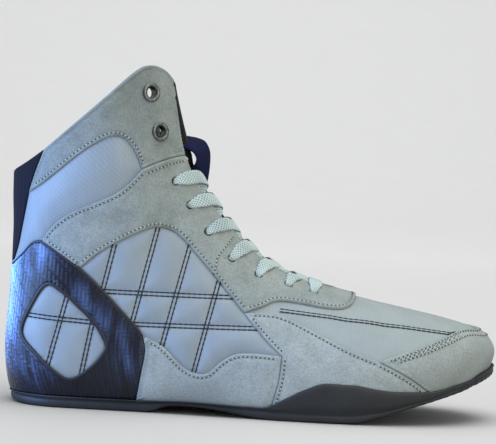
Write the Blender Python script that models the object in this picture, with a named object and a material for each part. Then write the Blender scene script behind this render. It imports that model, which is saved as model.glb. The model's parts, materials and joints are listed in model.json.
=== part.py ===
"""High-top training shoe for the right foot, lateral side towards -Y, toe towards +X.

The upper is one hollow wall lofted through the sections of a last. Its overlays are pieces
of the same surface, so they lie on the wall with an even gap. Tables are in millimetres,
x from the back of the heel and z from the floor.
"""
import math

import bpy
import numpy as np
from mathutils import Vector
from mathutils.bvhtree import BVHTree
from mathutils.geometry import delaunay_2d_cdt

MM = 0.001

# Driving sizes in millimetres; the tables below belong to a last of this size
LENGTH = 290.0
BALL_WIDTH = 99.0
COLLAR_HEIGHT = 201.0
TABLE_LAST = (290.0, 99.0, 201.0)

WALL = 2.0             # upper, outer face to inner face
GAP = 0.3              # air left between neighbouring pieces
OVERLAY = 1.2          # suede overlays and heel counter
TONGUE_PAD = 3.2
TONGUE_RISE = 2.9      # how far the tongue swells up into the throat
INSOLE = 3.6
LACE_WIDTH = 6.0
LACE_THICK = 1.2
LACE_HOLE = 2.3        # radius
RING_BARREL = 3.5      # radius of the metal eyelet's barrel
RING_HOLE = 2.9
RING_FLANGE = 5.5
RIM = 1.4              # rubber outside the overlays at the sole's top edge
LOOP_WIDTH = 18.0
LOOP_THICK = 1.6

SEAM_STEP = 8.5        # spacing of points along seams
FIELD_STEP = 12.0      # spacing of points between seams
ROW_SPAN = 20.0        # flat pattern: one section to the next
GIRTH = 105.0          # flat pattern: crest to base line

# One row per section of the last, toe to collar. Each section leans: it joins a point of the
# crest to a point of the base line, which runs along the sole and then up the heel's back.
# low is the share of the way down at which the section is widest.
COLUMNS = ("crest_x", "crest_z", "base_x", "base_z", "lateral", "medial",
           "base_lateral", "base_medial", "low", "crest_round", "base_round", "ridge")
SECTIONS = {
    "toe_tip": (287.8, 32.5, 276.4, 27.2, 46.0, 46.0, 26.0, 26.0, 5.60, 2.0, 2.0, 3.0),
    "toe_front": (289.6, 41.0, 270.0, 24.2, 37.6, 38.0, 32.5, 33.0, 2.00, 2.0, 2.0, 3.0),
    "toe_top": (286.0, 48.5, 262.0, 21.0, 38.0, 38.6, 37.2, 37.8, 1.25, 2.05, 2.0, 3.0),
    "cap_edge": (277.0, 54.6, 252.0, 17.0, 42.0, 43.0, 41.2, 42.2, 0.90, 2.15, 2.0, 3.0),
    "toe_box": (260.0, 59.4, 238.0, 13.0, 46.6, 46.8, 45.0, 45.3, 0.80, 2.2, 2.0, 3.0),
    "vamp": (238.0, 63.8, 221.0, 8.5, 49.8, 48.6, 47.4, 46.6, 0.76, 2.2, 2.0, 3.0),
    "ball": (214.0, 68.4, 199.0, 6.0, 51.0, 48.5, 48.2, 46.0, 0.74, 2.2, 2.0, 3.5),
    "throat": (191.0, 73.8, 172.0, 6.0, 49.5, 46.5, 46.5, 43.0, 0.72, 2.1, 2.0, 4.0),
    "waist": (170.0, 80.5, 143.0, 6.4, 46.5, 43.0, 42.4, 37.0, 0.69, 2.05, 2.0, 4.0),
    "instep": (152.0, 90.2, 112.0, 7.0, 43.0, 39.5, 37.4, 32.4, 0.65, 2.0, 2.0, 3.5),
    "arch": (137.0, 103.6, 78.0, 6.2, 40.0, 37.6, 34.0, 32.0, 0.60, 2.0, 2.1, 2.5),
    "seat": (125.0, 118.0, 42.0, 6.0, 38.0, 36.6, 31.6, 31.2, 0.55, 2.0, 2.2, 1.5),
    "heel": (116.0, 130.5, 7.2, 6.0, 37.0, 36.2, 0.0, 0.0, 0.50, 2.0, 2.4, 1.0),
    "counter": (109.2, 142.0, 1.6, 36.0, 36.6, 36.0, 0.0, 0.0, 0.47, 2.0, 2.5, 0.5),
    "ankle": (104.6, 153.0, 3.4, 70.0, 36.4, 36.0, 0.0, 0.0, 0.47, 2.0, 2.3, 0.0),
    "shaft": (101.4, 166.0, 3.4, 100.0, 36.5, 36.0, 0.0, 0.0, 0.48, 2.0, 2.1, 0.0),
    "collar": (98.6, 180.0, 2.4, 124.0, 37.0, 36.5, 0.0, 0.0, 0.49, 2.0, 2.0, 0.0),
    "rim": (95.6, 195.0, 2.2, 147.0, 37.5, 37.0, 0.0, 0.0, 0.50, 2.0, 2.0, 0.0),
    "above": (92.8, 213.0, 2.2, 172.0, 38.0, 37.5, 0.0, 0.0, 0.50, 2.0, 2.0, 0.0),
}
SEAT_ROW = list(SECTIONS).index("seat")
HEEL_ROW = list(SECTIONS).index("heel")
TOP_ROW = len(SECTIONS) - 1.0
HEEL_ROUND = 2.2

# Half width of the throat by section, toe end first
THROAT = {"row": (6.87, 7.0, 7.3, 8.0, 10.0, 12.0, 14.0, 16.0, 17.0),
          "half": (0.0, 6.5, 9.6, 10.5, 11.0, 12.0, 13.0, 13.5, 13.5)}

# Seams as seen from the side, (x, z)
SEAMS = {
    "flap": ((94.8, 183.0), (93.3, 189.4), (91.4, 195.2), (87.0, 199.3), (80.6, 200.8),
             (74.0, 198.0), (64.0, 189.0), (42.0, 168.4), (21.5, 149.6)),
    "gusset_top": ((21.5, 149.6), (12.0, 142.4), (2.2, 136.0)),
    "gusset_side": ((21.5, 149.6), (17.0, 137.0), (13.0, 123.6)),
    "gusset_low": ((13.0, 123.6), (9.6, 104.0), (7.2, 91.0), (3.4, 80.0)),
    "cuff": ((13.0, 123.6), (23.0, 131.0), (42.0, 147.6), (51.0, 154.0), (59.0, 158.4),
             (66.5, 158.0), (72.0, 153.0), (75.5, 146.6), (78.0, 140.4)),
    "stay_top": ((78.0, 140.4), (84.0, 143.4), (92.0, 146.6), (100.0, 149.0)),
    "stay_back": ((22.0, 96.0), (26.0, 102.5), (32.0, 109.0), (41.0, 115.0), (52.0, 120.0),
                  (64.0, 126.0), (72.0, 133.0), (78.0, 140.4)),
    "counter_top": ((3.4, 80.0), (11.0, 87.6), (17.0, 94.6), (22.0, 96.0)),
    "counter_stay": ((22.0, 96.0), (30.0, 91.4), (45.0, 81.6)),
    "counter_front": ((45.0, 81.6), (57.0, 71.0), (69.0, 59.0), (78.0, 50.4), (83.2, 44.6)),
    "counter_foot": ((83.2, 44.6), (85.0, 36.0), (83.4, 24.0), (81.6, 12.0), (80.6, 6.2)),
    "quilt_top": ((45.0, 81.6), (55.0, 90.6), (65.0, 97.0), (76.0, 103.0), (85.0, 106.6),
                  (93.0, 106.6), (101.0, 103.0), (111.0, 93.0), (123.0, 80.0), (141.0, 60.0)),
    "quilt_front": ((141.0, 60.0), (149.0, 51.0), (157.0, 43.0), (164.0, 37.0)),
    "guard_top": ((83.2, 44.6), (94.0, 40.0), (103.0, 32.0), (109.0, 27.0), (116.0, 24.4),
                  (122.0, 25.4), (129.0, 32.0), (137.0, 36.8), (148.0, 37.8), (164.0, 37.0)),
    "guard_front": ((164.0, 37.0), (163.0, 24.0), (161.0, 15.0), (159.0, 6.1)),
    "stay_low": ((141.0, 60.0), (151.0, 63.4), (160.0, 67.0), (174.0, 66.0), (186.0, 64.2),
                 (196.0, 63.8), (203.0, 65.6), (207.0, 69.8)),
    "fore_top": ((141.0, 60.0), (152.0, 60.4), (165.0, 58.4), (185.0, 50.0), (203.0, 42.0),
                 (219.0, 36.4)),
    "fore_front": ((219.0, 36.4), (229.0, 32.0), (239.0, 26.8), (248.0, 20.6), (252.0, 17.0)),
    "cap_top": ((219.0, 36.4), (233.0, 41.2), (244.0, 45.0), (256.0, 49.6), (268.0, 53.6),
                (280.0, 53.2)),
    "window": ((26.0, 71.4), (36.0, 67.6), (46.0, 59.4), (56.0, 49.8), (62.4, 39.0),
               (61.0, 33.0), (54.0, 24.4), (43.0, 17.2), (34.0, 20.4), (21.0, 31.4),
               (12.6, 42.0), (17.0, 57.0)),
}
# Where the seams above leave the side view and run along the border of the pattern
ON_CREST = {"cap_top": -1, "stay_low": -1}
ON_BASE = {"counter_foot": -1, "guard_front": -1, "fore_front": -1}
ON_BACK = {"gusset_top": -1, "gusset_low": -1, "counter_top": 0}
ON_THROAT = {"flap": 0, "stay_top": -1}

LACE_HOLES = ((97.0, 134.0), (106.0, 120.0), (117.5, 105.0), (132.0, 90.0), (148.0, 81.0),
              (166.0, 75.6), (181.0, 71.8))
RINGS = {"upper": (81.0, 185.0), "lower": (87.0, 162.5)}

# Outsole along its length: underside, and the height of its lip up the upper's side
UNDERSIDE = {"x": (0.0, 10.0, 16.0, 86.0, 92.0, 99.0, 108.0, 118.0, 133.0, 148.0, 162.0, 206.0,
                   216.0, 234.0, 256.0, 276.0, 292.0),
             "z": (2.6, 0.5, 0.0, 0.0, 1.4, 3.8, 4.4, 4.2, 2.6, 0.9, 0.0, 0.0,
                   1.5, 7.4, 14.8, 22.2, 28.6)}
LIP = {"x": (0.0, 154.0, 160.0, 167.0, 178.0, 191.0, 204.0, 219.0, 234.0, 250.0, 264.0, 292.0),
       "rise": (0.8, 0.8, 3.0, 7.4, 14.0, 16.8, 14.4, 9.6, 5.2, 2.6, 1.8, 1.6)}
SOLE_BEVEL = {"x": (0.0, 12.0, 30.0, 90.0, 110.0, 150.0, 230.0, 280.0, 292.0),
              "in": (4.0, 3.2, 1.8, 1.8, 4.5, 2.0, 1.8, 3.0, 4.0)}
LUG_SLOTS = (24.0, 38.0, 52.0, 66.0, 172.0, 182.0, 192.0, 202.0, 214.0, 226.0, 238.0)
SLOT_WIDTH = 3.0
SLOT_DEPTH = 1.2

# Side view of the pull loop's webbing between the two places where it is sewn to the tongue
PULL_LOOP = ((107.8, 160.4), (113.0, 158.0), (116.0, 152.6), (116.6, 146.0))
LOOP_HEAD = 160.0
LOOP_FOOT = 140.4

MATERIALS = {
    "suede": ((0.36, 0.40, 0.40), 0.92, 0.0),
    "satin_fabric": ((0.40, 0.47, 0.52), 0.55, 0.0),
    "counter_weave": ((0.012, 0.014, 0.028), 0.32, 0.0),
    "black_elastic": ((0.010, 0.010, 0.014), 0.80, 0.0),
    "tongue_fabric": ((0.012, 0.013, 0.022), 0.78, 0.0),
    "webbing": ((0.010, 0.011, 0.020), 0.70, 0.0),
    "lace_braid": ((0.47, 0.55, 0.57), 0.80, 0.0),
    "eyelet_metal": ((0.33, 0.33, 0.35), 0.38, 1.0),
    "outsole_rubber": ((0.012, 0.012, 0.013), 0.62, 0.0),
    "insole_fabric": ((0.03, 0.03, 0.035), 0.88, 0.0),
}


def curve(knots, values):
    """Smooth curve through the knots that never overshoots, so a flat run stays flat."""
    knots = np.asarray(knots, float)
    values = np.asarray(values, float)
    step = np.diff(knots)
    rise = np.diff(values) / step
    slope = np.zeros(len(knots))
    same = rise[:-1] * rise[1:] > 0
    slope[1:-1][same] = 2.0 * (rise[:-1] * rise[1:])[same] / (rise[:-1] + rise[1:])[same]
    slope[0] = rise[0]
    slope[-1] = rise[-1]

    def at(x):
        x = np.clip(np.asarray(x, float), knots[0], knots[-1])
        i = np.clip(np.searchsorted(knots, x, side="right") - 1, 0, len(step) - 1)
        t = (x - knots[i]) / step[i]
        start = values[i] * (1 + 2 * t) + slope[i] * step[i] * t
        end = values[i + 1] * (3 - 2 * t) - slope[i + 1] * step[i] * (1 - t)
        return start * (1 - t) ** 2 + end * t * t

    return at


ROWS = np.arange(len(SECTIONS))
LAST = {name: curve(ROWS, [row[i] for row in SECTIONS.values()])
        for i, name in enumerate(COLUMNS)}
throat_half = curve(THROAT["row"], THROAT["half"])
underside = curve(UNDERSIDE["x"], UNDERSIDE["z"])
lip_rise = curve(LIP["x"], LIP["rise"])
sole_bevel = curve(SOLE_BEVEL["x"], SOLE_BEVEL["in"])


def base_half(s, side):
    """Half width of the base line; it closes round the heel as a superellipse."""
    width = np.where(side < 0, LAST["base_lateral"](s), LAST["base_medial"](s))
    seat = np.where(side < 0, LAST["base_lateral"](SEAT_ROW), LAST["base_medial"](SEAT_ROW))
    back = LAST["base_x"](HEEL_ROW)
    front = LAST["base_x"](SEAT_ROW)
    share = np.clip((front - LAST["base_x"](s)) / (front - back), 0, 1)
    heel = seat * np.maximum(1 - share ** HEEL_ROUND, 0) ** (1 / HEEL_ROUND)
    return np.where(s >= HEEL_ROW, 0.0, np.where(s > SEAT_ROW, heel, width))


def end_angle(low, power):
    """Angle at which a section stops when its widest place lies past the base line."""
    fall = np.maximum(1 - 1 / np.maximum(low, 1.0), 0)
    return np.arctan2((1 - fall ** power) ** (1 / power), fall)


def surface(s, v, side):
    """Outer face of the upper: s counts sections from the toe, v runs crest 0 to base 1."""
    s, v, side = np.broadcast_arrays(*(np.asarray(a, float) for a in (s, v, side)))
    low = LAST["low"](s)
    split = np.minimum(low, 1.0)
    upper = v <= split
    power = np.where(upper, LAST["crest_round"](s), LAST["base_round"](s))
    down = end_angle(low, LAST["crest_round"](s)) * v / split
    under = 0.5 * math.pi * (1 - v) / np.maximum(1 - split, 1e-6)
    angle = np.clip(np.where(upper, down, under), 0, 0.5 * math.pi)
    sine, cosine = np.sin(angle), np.cos(angle)
    length = (sine ** power + np.abs(cosine) ** power) ** (1 / power)
    out, fall = sine / length, np.abs(cosine) / length
    wide = np.where(side < 0, LAST["lateral"](s), LAST["medial"](s))
    start = np.where(upper, 0.0, base_half(s, side))
    share = low + np.where(upper, -low, 1 - low) * fall
    x = LAST["crest_x"](s) + share * (LAST["base_x"](s) - LAST["crest_x"](s))
    z = LAST["crest_z"](s) + share * (LAST["base_z"](s) - LAST["crest_z"](s))
    y = side * (start + (wide - start) * out)
    y = y + np.where(upper, LAST["ridge"](s) * fall ** 2, 0.0)
    return np.stack([x, y, z], axis=-1)


def locate(x, z):
    """Section number and v of a point given in the side view."""
    def off(s):
        run = LAST["base_x"](s) - LAST["crest_x"](s)
        drop = LAST["base_z"](s) - LAST["crest_z"](s)
        return (x - LAST["crest_x"](s)) * drop - (z - LAST["crest_z"](s)) * run

    tries = np.linspace(0, TOP_ROW, 361)
    signs = np.sign(off(tries))
    spots = np.nonzero(signs[:-1] * signs[1:] <= 0)[0]
    near, far = tries[spots[0]], tries[spots[0] + 1]
    for _ in range(40):
        middle = 0.5 * (near + far)
        if off(near) * off(middle) <= 0:
            far = middle
        else:
            near = middle
    s = 0.5 * (near + far)
    run = LAST["base_x"](s) - LAST["crest_x"](s)
    drop = LAST["base_z"](s) - LAST["crest_z"](s)
    share = ((x - LAST["crest_x"](s)) * run + (z - LAST["crest_z"](s)) * drop)
    share = float(np.clip(share / (run ** 2 + drop ** 2), 0, 1))
    low = float(LAST["low"](s))
    split = min(low, 1.0)
    if share <= low:
        power = float(LAST["crest_round"](s))
        fall = 1 - share / low
        angle = math.atan2((1 - fall ** power) ** (1 / power), fall)
        return s, split * angle / float(end_angle(low, power))
    power = float(LAST["base_round"](s))
    fall = (share - low) / (1 - low)
    angle = math.atan2(max(1 - fall ** power, 0) ** (1 / power), fall)
    return s, 1 - (1 - split) * angle / (0.5 * math.pi)


def row_where(column, value, first, last):
    """Section number at which a column of the last reaches a value."""
    tries = np.linspace(first, last, 4001)
    return float(tries[np.argmin(np.abs(LAST[column](tries) - value))])


def v_at(s, half):
    """v at which section s has a given half width, on its way down from the crest."""
    out = half / float(LAST["lateral"](s))
    power = float(LAST["crest_round"](s))
    fall = (1 - out ** power) ** (1 / power)
    return float(LAST["low"](s)) * math.atan2(out, fall) / (0.5 * math.pi)


def throat_v(s):
    """v of the throat's edge at section s."""
    return v_at(s, float(throat_half(s)))


def throat_row(z):
    """Section whose throat edge lies at height z."""
    tries = np.linspace(8.0, 17.6, 1201)
    heights = [float(surface(s, throat_v(s), -1)[2]) for s in tries]
    return float(tries[np.argmin(np.abs(np.array(heights) - z))])


def smooth(points, spacing, closed=False):
    """Even points along a curve through the given ones, keeping the two ends."""
    points = np.asarray(points, float)
    if closed:
        points = np.vstack([points, points[:1]])
        before, after = points[-2], points[1]
    else:
        before, after = 2 * points[0] - points[1], 2 * points[-1] - points[-2]
    padded = np.vstack([before, points, after])
    fine = []
    for a, b, c, d in zip(padded, padded[1:], padded[2:], padded[3:]):
        for t in np.linspace(0, 1, 12, endpoint=False):
            fine.append(b + 0.5 * t * (c - a + t * (2 * a - 5 * b + 4 * c - d
                                                  + t * (3 * (b - c) + d - a))))
    fine = np.array(fine + [points[-1]])
    reach = np.concatenate([[0], np.cumsum(np.linalg.norm(np.diff(fine, axis=0), axis=1))])
    count = max(1, int(round(reach[-1] / spacing)))
    marks = np.linspace(0, reach[-1], count + 1)
    even = np.stack([np.interp(marks, reach, fine[:, i]) for i in range(2)], axis=1)
    return even[:-1] if closed else even


def flat(pairs):
    return np.asarray(pairs, float) * (ROW_SPAN, GIRTH)


def border(start, end, count):
    """Points of a border line between two (s, v) places, both ends kept."""
    return np.linspace(start, end, count + 1)


def inside(points, polygon):
    """Which flat points lie inside a closed polygon."""
    x, y = points[:, 0], points[:, 1]
    hit = np.zeros(len(points), bool)
    for (ax, ay), (bx, by) in zip(polygon, np.roll(polygon, -1, axis=0)):
        cross = (ay > y) != (by > y)
        with np.errstate(divide="ignore", invalid="ignore"):
            hit ^= cross & (x < (bx - ax) * (y - ay) / (by - ay) + ax)
    return hit


def clear_of(points, lines, distance):
    """Flat points that keep a distance from every seam."""
    keep = np.ones(len(points), bool)
    for line in lines:
        for a, b in zip(line, line[1:]):
            along = b - a
            t = np.clip(((points - a) @ along) / max(along @ along, 1e-9), 0, 1)
            keep &= np.linalg.norm(points - a - t[:, None] * along, axis=1) > distance
    return points[keep]


def spot_circle(place, radius, count):
    """A small round hole as (s, v) points, true to size on the surface."""
    s, v = place
    along = (surface(s + 0.05, v, -1) - surface(s - 0.05, v, -1)) / 0.1
    down = (surface(s, v + 0.01, -1) - surface(s, v - 0.01, -1)) / 0.02
    right = along / np.linalg.norm(along)
    up = down - right * np.dot(down, right)
    up = up / np.linalg.norm(up)
    basis = np.stack([along, down], axis=1)
    ring = []
    for i in range(count):
        turn = 2 * math.pi * i / count
        spoke = radius * (right * math.cos(turn) + up * math.sin(turn))
        ring.append(np.linalg.lstsq(basis, spoke, rcond=None)[0])
    return np.array(ring) + place


# Lay every seam out on the flat pattern of one half

seam = {}
for name, points in SEAMS.items():
    side_view = smooth(points, SEAM_STEP, closed=name == "window")
    seam[name] = np.array([locate(x, z) for x, z in side_view])
for name, end in ON_CREST.items():
    seam[name][end] = (row_where("crest_x", SEAMS[name][end][0], 1.5, 12), 0.0)
for name, end in ON_BASE.items():
    seam[name][end] = (row_where("base_x", SEAMS[name][end][0], 0, HEEL_ROW), 1.0)
for name, end in ON_BACK.items():
    seam[name][end] = (row_where("base_z", SEAMS[name][end][1], HEEL_ROW, TOP_ROW), 1.0)
for name, end in ON_THROAT.items():
    row = throat_row(SEAMS[name][end][1])
    seam[name][end] = (row, throat_v(row))

throat_rows = [seam["stay_top"][-1][0], seam["flap"][0][0]]
THROAT_START = THROAT["row"][0]
low_marks = np.array([0.0, 0.08, 0.3, 0.8])
low_throat = np.concatenate([THROAT_START + low_marks, np.linspace(8.1, throat_rows[0], 14)])
seam["throat_low"] = np.array([(s, throat_v(s)) for s in low_throat])
high_throat = np.linspace(throat_rows[0], throat_rows[1], 6)
seam["throat_high"] = np.array([(s, throat_v(s)) for s in high_throat])
for name, end in ON_THROAT.items():
    seam["throat_high"][0 if name == "stay_top" else -1] = seam[name][end]
seam["throat_low"][-1] = seam["stay_top"][-1]

cap_row = seam["cap_top"][-1][0]
stay_row = seam["stay_low"][-1][0]
crest_stops = [0.0, cap_row, stay_row, THROAT_START]
base_stops = [0.0] + [seam[name][-1][0] for name in ("fore_front", "guard_front", "counter_foot")]
base_stops.append(float(HEEL_ROW))
back_stops = [float(HEEL_ROW), seam["counter_top"][0][0], seam["gusset_top"][-1][0]]
for name, stops, v in (("crest", crest_stops, 0.0), ("base", base_stops, 1.0),
                       ("back", back_stops, 1.0)):
    for i, (a, b) in enumerate(zip(stops, stops[1:])):
        path = surface(np.linspace(a, b, 60), v, -1)
        reach = np.concatenate([[0], np.cumsum(np.linalg.norm(np.diff(path, axis=0), axis=1))])
        count = max(1, int(round(reach[-1] / SEAM_STEP)))
        rows = np.interp(np.linspace(0, reach[-1], count + 1), reach, np.linspace(a, b, 60))
        seam[f"{name}_{i}"] = np.stack([rows, np.full(count + 1, v)], axis=1)
        seam[f"{name}_{i}"][0, 0], seam[f"{name}_{i}"][-1, 0] = a, b
seam["toe"] = border((0.0, 1.0), (0.0, 0.0), 8)

tongue_top = 16.7
seam["throat_crest"] = border((THROAT_START, 0.0), (tongue_top, 0.0), 17)
tongue_side = [(6.35, 0.0), (6.5, 0.14), (7.0, 0.25)]
tongue_side += [(s, throat_v(s) + 0.16) for s in np.linspace(7.8, tongue_top - 0.35, 15)]
tongue_side += [(tongue_top - 0.1, throat_v(tongue_top) + 0.06), (tongue_top, 0.14)]
seam["tongue_side"] = np.array(tongue_side + [(tongue_top, 0.0)])

holes = [spot_circle(locate(x, z), LACE_HOLE, 6) for x, z in LACE_HOLES]
ring_room = RING_BARREL / math.cos(math.pi / 8) + 1.5 * GAP
ring_holes = {name: spot_circle(locate(x, z), ring_room, 8) for name, (x, z) in RINGS.items()}


def loop(*parts):
    """Closed flat polygon from seam names; a leading minus runs that seam backwards."""
    points = []
    for part in parts:
        line = seam[part.lstrip("-")]
        points.extend((line[::-1] if part.startswith("-") else line)[:-1])
    return flat(points)


PANELS = {
    "upper": loop("crest_0", "crest_1", "crest_2", "throat_low", "throat_high", "flap",
                  "gusset_top", "-back_1", "-back_0", "-base_3", "-base_2", "-base_1",
                  "-base_0", "toe"),
    "toe_cap": loop("crest_0", "-cap_top", "fore_front", "-base_0", "toe"),
    "forefoot_overlay": loop("fore_top", "fore_front", "base_1", "-guard_front",
                             "-quilt_front"),
    "mudguard": loop("guard_top", "guard_front", "base_2", "-counter_foot"),
    "heel_counter": loop("counter_top", "counter_stay", "counter_front", "counter_foot",
                         "base_3", "back_0"),
    "eyestay": loop("stay_back", "stay_top", "-throat_low", "-crest_2", "-stay_low",
                    "-quilt_top", "-counter_stay"),
    "collar_cuff": loop("cuff", "stay_top", "throat_high", "flap", "gusset_side"),
    "achilles_panel": loop("gusset_side", "gusset_low", "back_1", "-gusset_top"),
    "tongue": flat(seam["tongue_side"]),
}
WINDOW = flat(seam["window"])
HOLES = [flat(hole) for hole in holes + list(ring_holes.values())]

lines = [flat(line) for line in seam.values()]
lines += [np.vstack([ring, ring[:1]]) for ring in HOLES + [WINDOW]]
lines[list(seam).index("window")] = lines[-1]
columns = np.arange(0.5 * FIELD_STEP, TOP_ROW * ROW_SPAN, FIELD_STEP)
ranks = np.arange(0.5 * FIELD_STEP, GIRTH, FIELD_STEP)
grid = np.array([(x + (0.5 * FIELD_STEP if i % 2 else 0), y)
                 for i, y in enumerate(ranks) for x in columns])
grid = clear_of(grid, lines, 0.55 * FIELD_STEP)

flat_points = [tuple(p) for p in grid]
edges = []
for line in lines:
    first = len(flat_points)
    flat_points.extend(tuple(p) for p in line)
    edges.extend((first + i, first + i + 1) for i in range(len(line) - 1))
cut = delaunay_2d_cdt([Vector(p) for p in flat_points], edges, [], 0, 1e-3)
half_points = np.array([tuple(p) for p in cut[0]])
half_faces = np.array([f if (half_points[f[1]][0] - half_points[f[0]][0])
                       * (half_points[f[2]][1] - half_points[f[0]][1])
                       - (half_points[f[1]][1] - half_points[f[0]][1])
                       * (half_points[f[2]][0] - half_points[f[0]][0]) > 0 else f[::-1]
                       for f in cut[2]])
middles = half_points[half_faces].mean(axis=1)
in_hole = np.any([inside(middles, ring) for ring in HOLES], axis=0)
throat_gap = [(THROAT_START, 0.0)] + list(seam["throat_low"]) + list(seam["throat_high"])
in_throat = inside(middles, flat(throat_gap + [(TOP_ROW, 0.0)]))


def both_sides(chosen):
    """Triangles of the lateral half and of the medial half, facing out."""
    lateral = half_faces[chosen]
    return np.vstack([lateral, medial_of[lateral[:, ::-1]]])


rows, shares = half_points[:, 0] / ROW_SPAN, np.clip(half_points[:, 1] / GIRTH, 0, 1)
lateral_points = surface(rows, shares, -1)
medial_points = surface(rows, shares, 1)
shared = (shares < 1e-6) | ((shares > 1 - 1e-6) & (rows > HEEL_ROW - 1e-4))
medial_of = np.where(shared, np.arange(len(rows)), len(rows) + np.arange(len(rows)))
skin = np.vstack([lateral_points, medial_points])


def normals_of(points, triangles):
    corners = points[triangles]
    faces = np.cross(corners[:, 1] - corners[:, 0], corners[:, 2] - corners[:, 0])
    total = np.zeros_like(points)
    for i in range(3):
        np.add.at(total, triangles[:, i], faces)
    return total / np.maximum(np.linalg.norm(total, axis=1, keepdims=True), 1e-9)


all_faces = both_sides(np.ones(len(half_faces), bool))
skin_normal = normals_of(skin, all_faces)
on_base = np.tile((shares > 1 - 1e-6) & (rows < HEEL_ROW + 1e-4), 2)
on_base |= np.tile(rows < 1e-6, 2)
skin_normal[on_base, 2] = 0.0
skin_normal /= np.maximum(np.linalg.norm(skin_normal, axis=1, keepdims=True), 1e-9)

scene_collection = bpy.context.scene.collection
for item in list(bpy.data.objects):
    bpy.data.objects.remove(item, do_unlink=True)
root = bpy.data.objects.new("shoe_origin", None)
scene_collection.objects.link(root)
materials = {}
for name, (colour, rough, metal) in MATERIALS.items():
    materials[name] = bpy.data.materials.new(name)
    materials[name].use_nodes = True
    materials[name].diffuse_color = (*colour, 1.0)
    principled = materials[name].node_tree.nodes["Principled BSDF"]
    principled.inputs["Base Color"].default_value = (*colour, 1.0)
    principled.inputs["Roughness"].default_value = rough
    principled.inputs["Metallic"].default_value = metal
SCALE = np.array([MM * have / table for have, table in
                  zip((LENGTH, BALL_WIDTH, COLLAR_HEIGHT), TABLE_LAST)])


def add_solid(name, material, points, faces):
    mesh = bpy.data.meshes.new(name)
    mesh.from_pydata([tuple(p) for p in np.asarray(points) * SCALE], [],
                     [tuple(int(i) for i in f) for f in faces])
    mesh.materials.append(materials[material])
    mesh.update()
    solid = bpy.data.objects.new(name, mesh)
    solid.parent = root
    scene_collection.objects.link(solid)
    return solid


def border_edges(triangles):
    """Edges that only one triangle uses, in that triangle's own direction."""
    directed = {(int(a), int(b)) for f in triangles for a, b in zip(f, np.roll(f, -1))}
    return sorted(edge for edge in directed if edge[::-1] not in directed)


def shell(name, material, points, normal, triangles, inner, outer, inset=0.0):
    """Closed sheet of even thickness between two offsets of a surface."""
    used, compact = np.unique(triangles, return_inverse=True)
    triangles = compact.reshape(-1, 3)
    points, normal = points[used], normal[used]
    inner = np.broadcast_to(np.asarray(inner, float), len(skin))[used] if np.ndim(inner) else inner
    outer = np.broadcast_to(np.asarray(outer, float), len(skin))[used] if np.ndim(outer) else outer
    rim = border_edges(triangles)
    inward = np.zeros_like(points)
    for a, b in rim:
        along = points[b] - points[a]
        turn = np.cross(normal[a], along / np.linalg.norm(along))
        inward[a] += turn
        inward[b] += turn
    size = np.maximum(np.linalg.norm(inward, axis=1, keepdims=True), 1e-9)
    points = points + inset * inward / size
    count = len(points)
    stacked = np.vstack([points + normal * np.reshape(outer, (-1, 1)),
                         points + normal * np.reshape(inner, (-1, 1))])
    faces = [tuple(f) for f in triangles] + [tuple(f[::-1] + count) for f in triangles]
    faces += [(b, a, a + count, b + count) for a, b in rim]
    return add_solid(name, material, stacked, faces)


# Upper and the pieces that lie on it

def panel_faces(name):
    return inside(middles, PANELS[name]) & ~in_hole


upper_faces = both_sides(panel_faces("upper"))
shell("upper", "satin_fabric", skin, skin_normal, upper_faces, -WALL, 0.0)
OVER = (GAP, GAP + OVERLAY, GAP)
in_window = inside(middles, WINDOW)
shell("toe_cap", "suede", skin, skin_normal, both_sides(panel_faces("toe_cap")), *OVER)
shell("eyestay", "suede", skin, skin_normal, both_sides(panel_faces("eyestay")), *OVER)
shell("heel_counter", "counter_weave", skin, skin_normal,
      both_sides(panel_faces("heel_counter") & ~in_window), *OVER)
shell("achilles_panel", "black_elastic", skin, skin_normal,
      both_sides(panel_faces("achilles_panel")), *OVER)
for name in ("collar_cuff", "mudguard", "forefoot_overlay"):
    halves = both_sides(panel_faces(name))
    halves = halves.reshape(2, -1, 3)
    shell(name + "_lateral", "suede", skin, skin_normal, halves[0], *OVER)
    shell(name + "_medial", "suede", skin, skin_normal, halves[1], *OVER)

# Tongue: under the wall at its sides, swelling up between the throat's edges

edge_y = np.array([float(throat_half(s)) for s in rows])
half_y = 0.5 * (medial_points[:, 1] - lateral_points[:, 1])
gap_share = np.clip((edge_y - 1.2 - half_y) / 6.0, 0, 1)
gap_share = np.where(rows > THROAT_START + 0.1, gap_share, 0.0)
swell = np.tile(gap_share * gap_share * (3 - 2 * gap_share) * TONGUE_RISE, 2)
tongue_outer = -(WALL + GAP) + swell
tongue_faces = both_sides(inside(middles, PANELS["tongue"]))
shell("tongue", "tongue_fabric", skin, skin_normal, tongue_faces,
      tongue_outer - TONGUE_PAD, tongue_outer)


def crest_spot(z, lift):
    """A place above the crest at height z, in the side view."""
    s = row_where("crest_z", z, 8, TOP_ROW)
    tangent = surface(s + 0.05, 0, -1) - surface(s - 0.05, 0, -1)
    across = np.array([tangent[2], -tangent[0]])
    across = across / np.linalg.norm(across) * (1 if across[0] > 0 else -1)
    return surface(s, 0, -1)[[0, 2]] + across * lift


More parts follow.
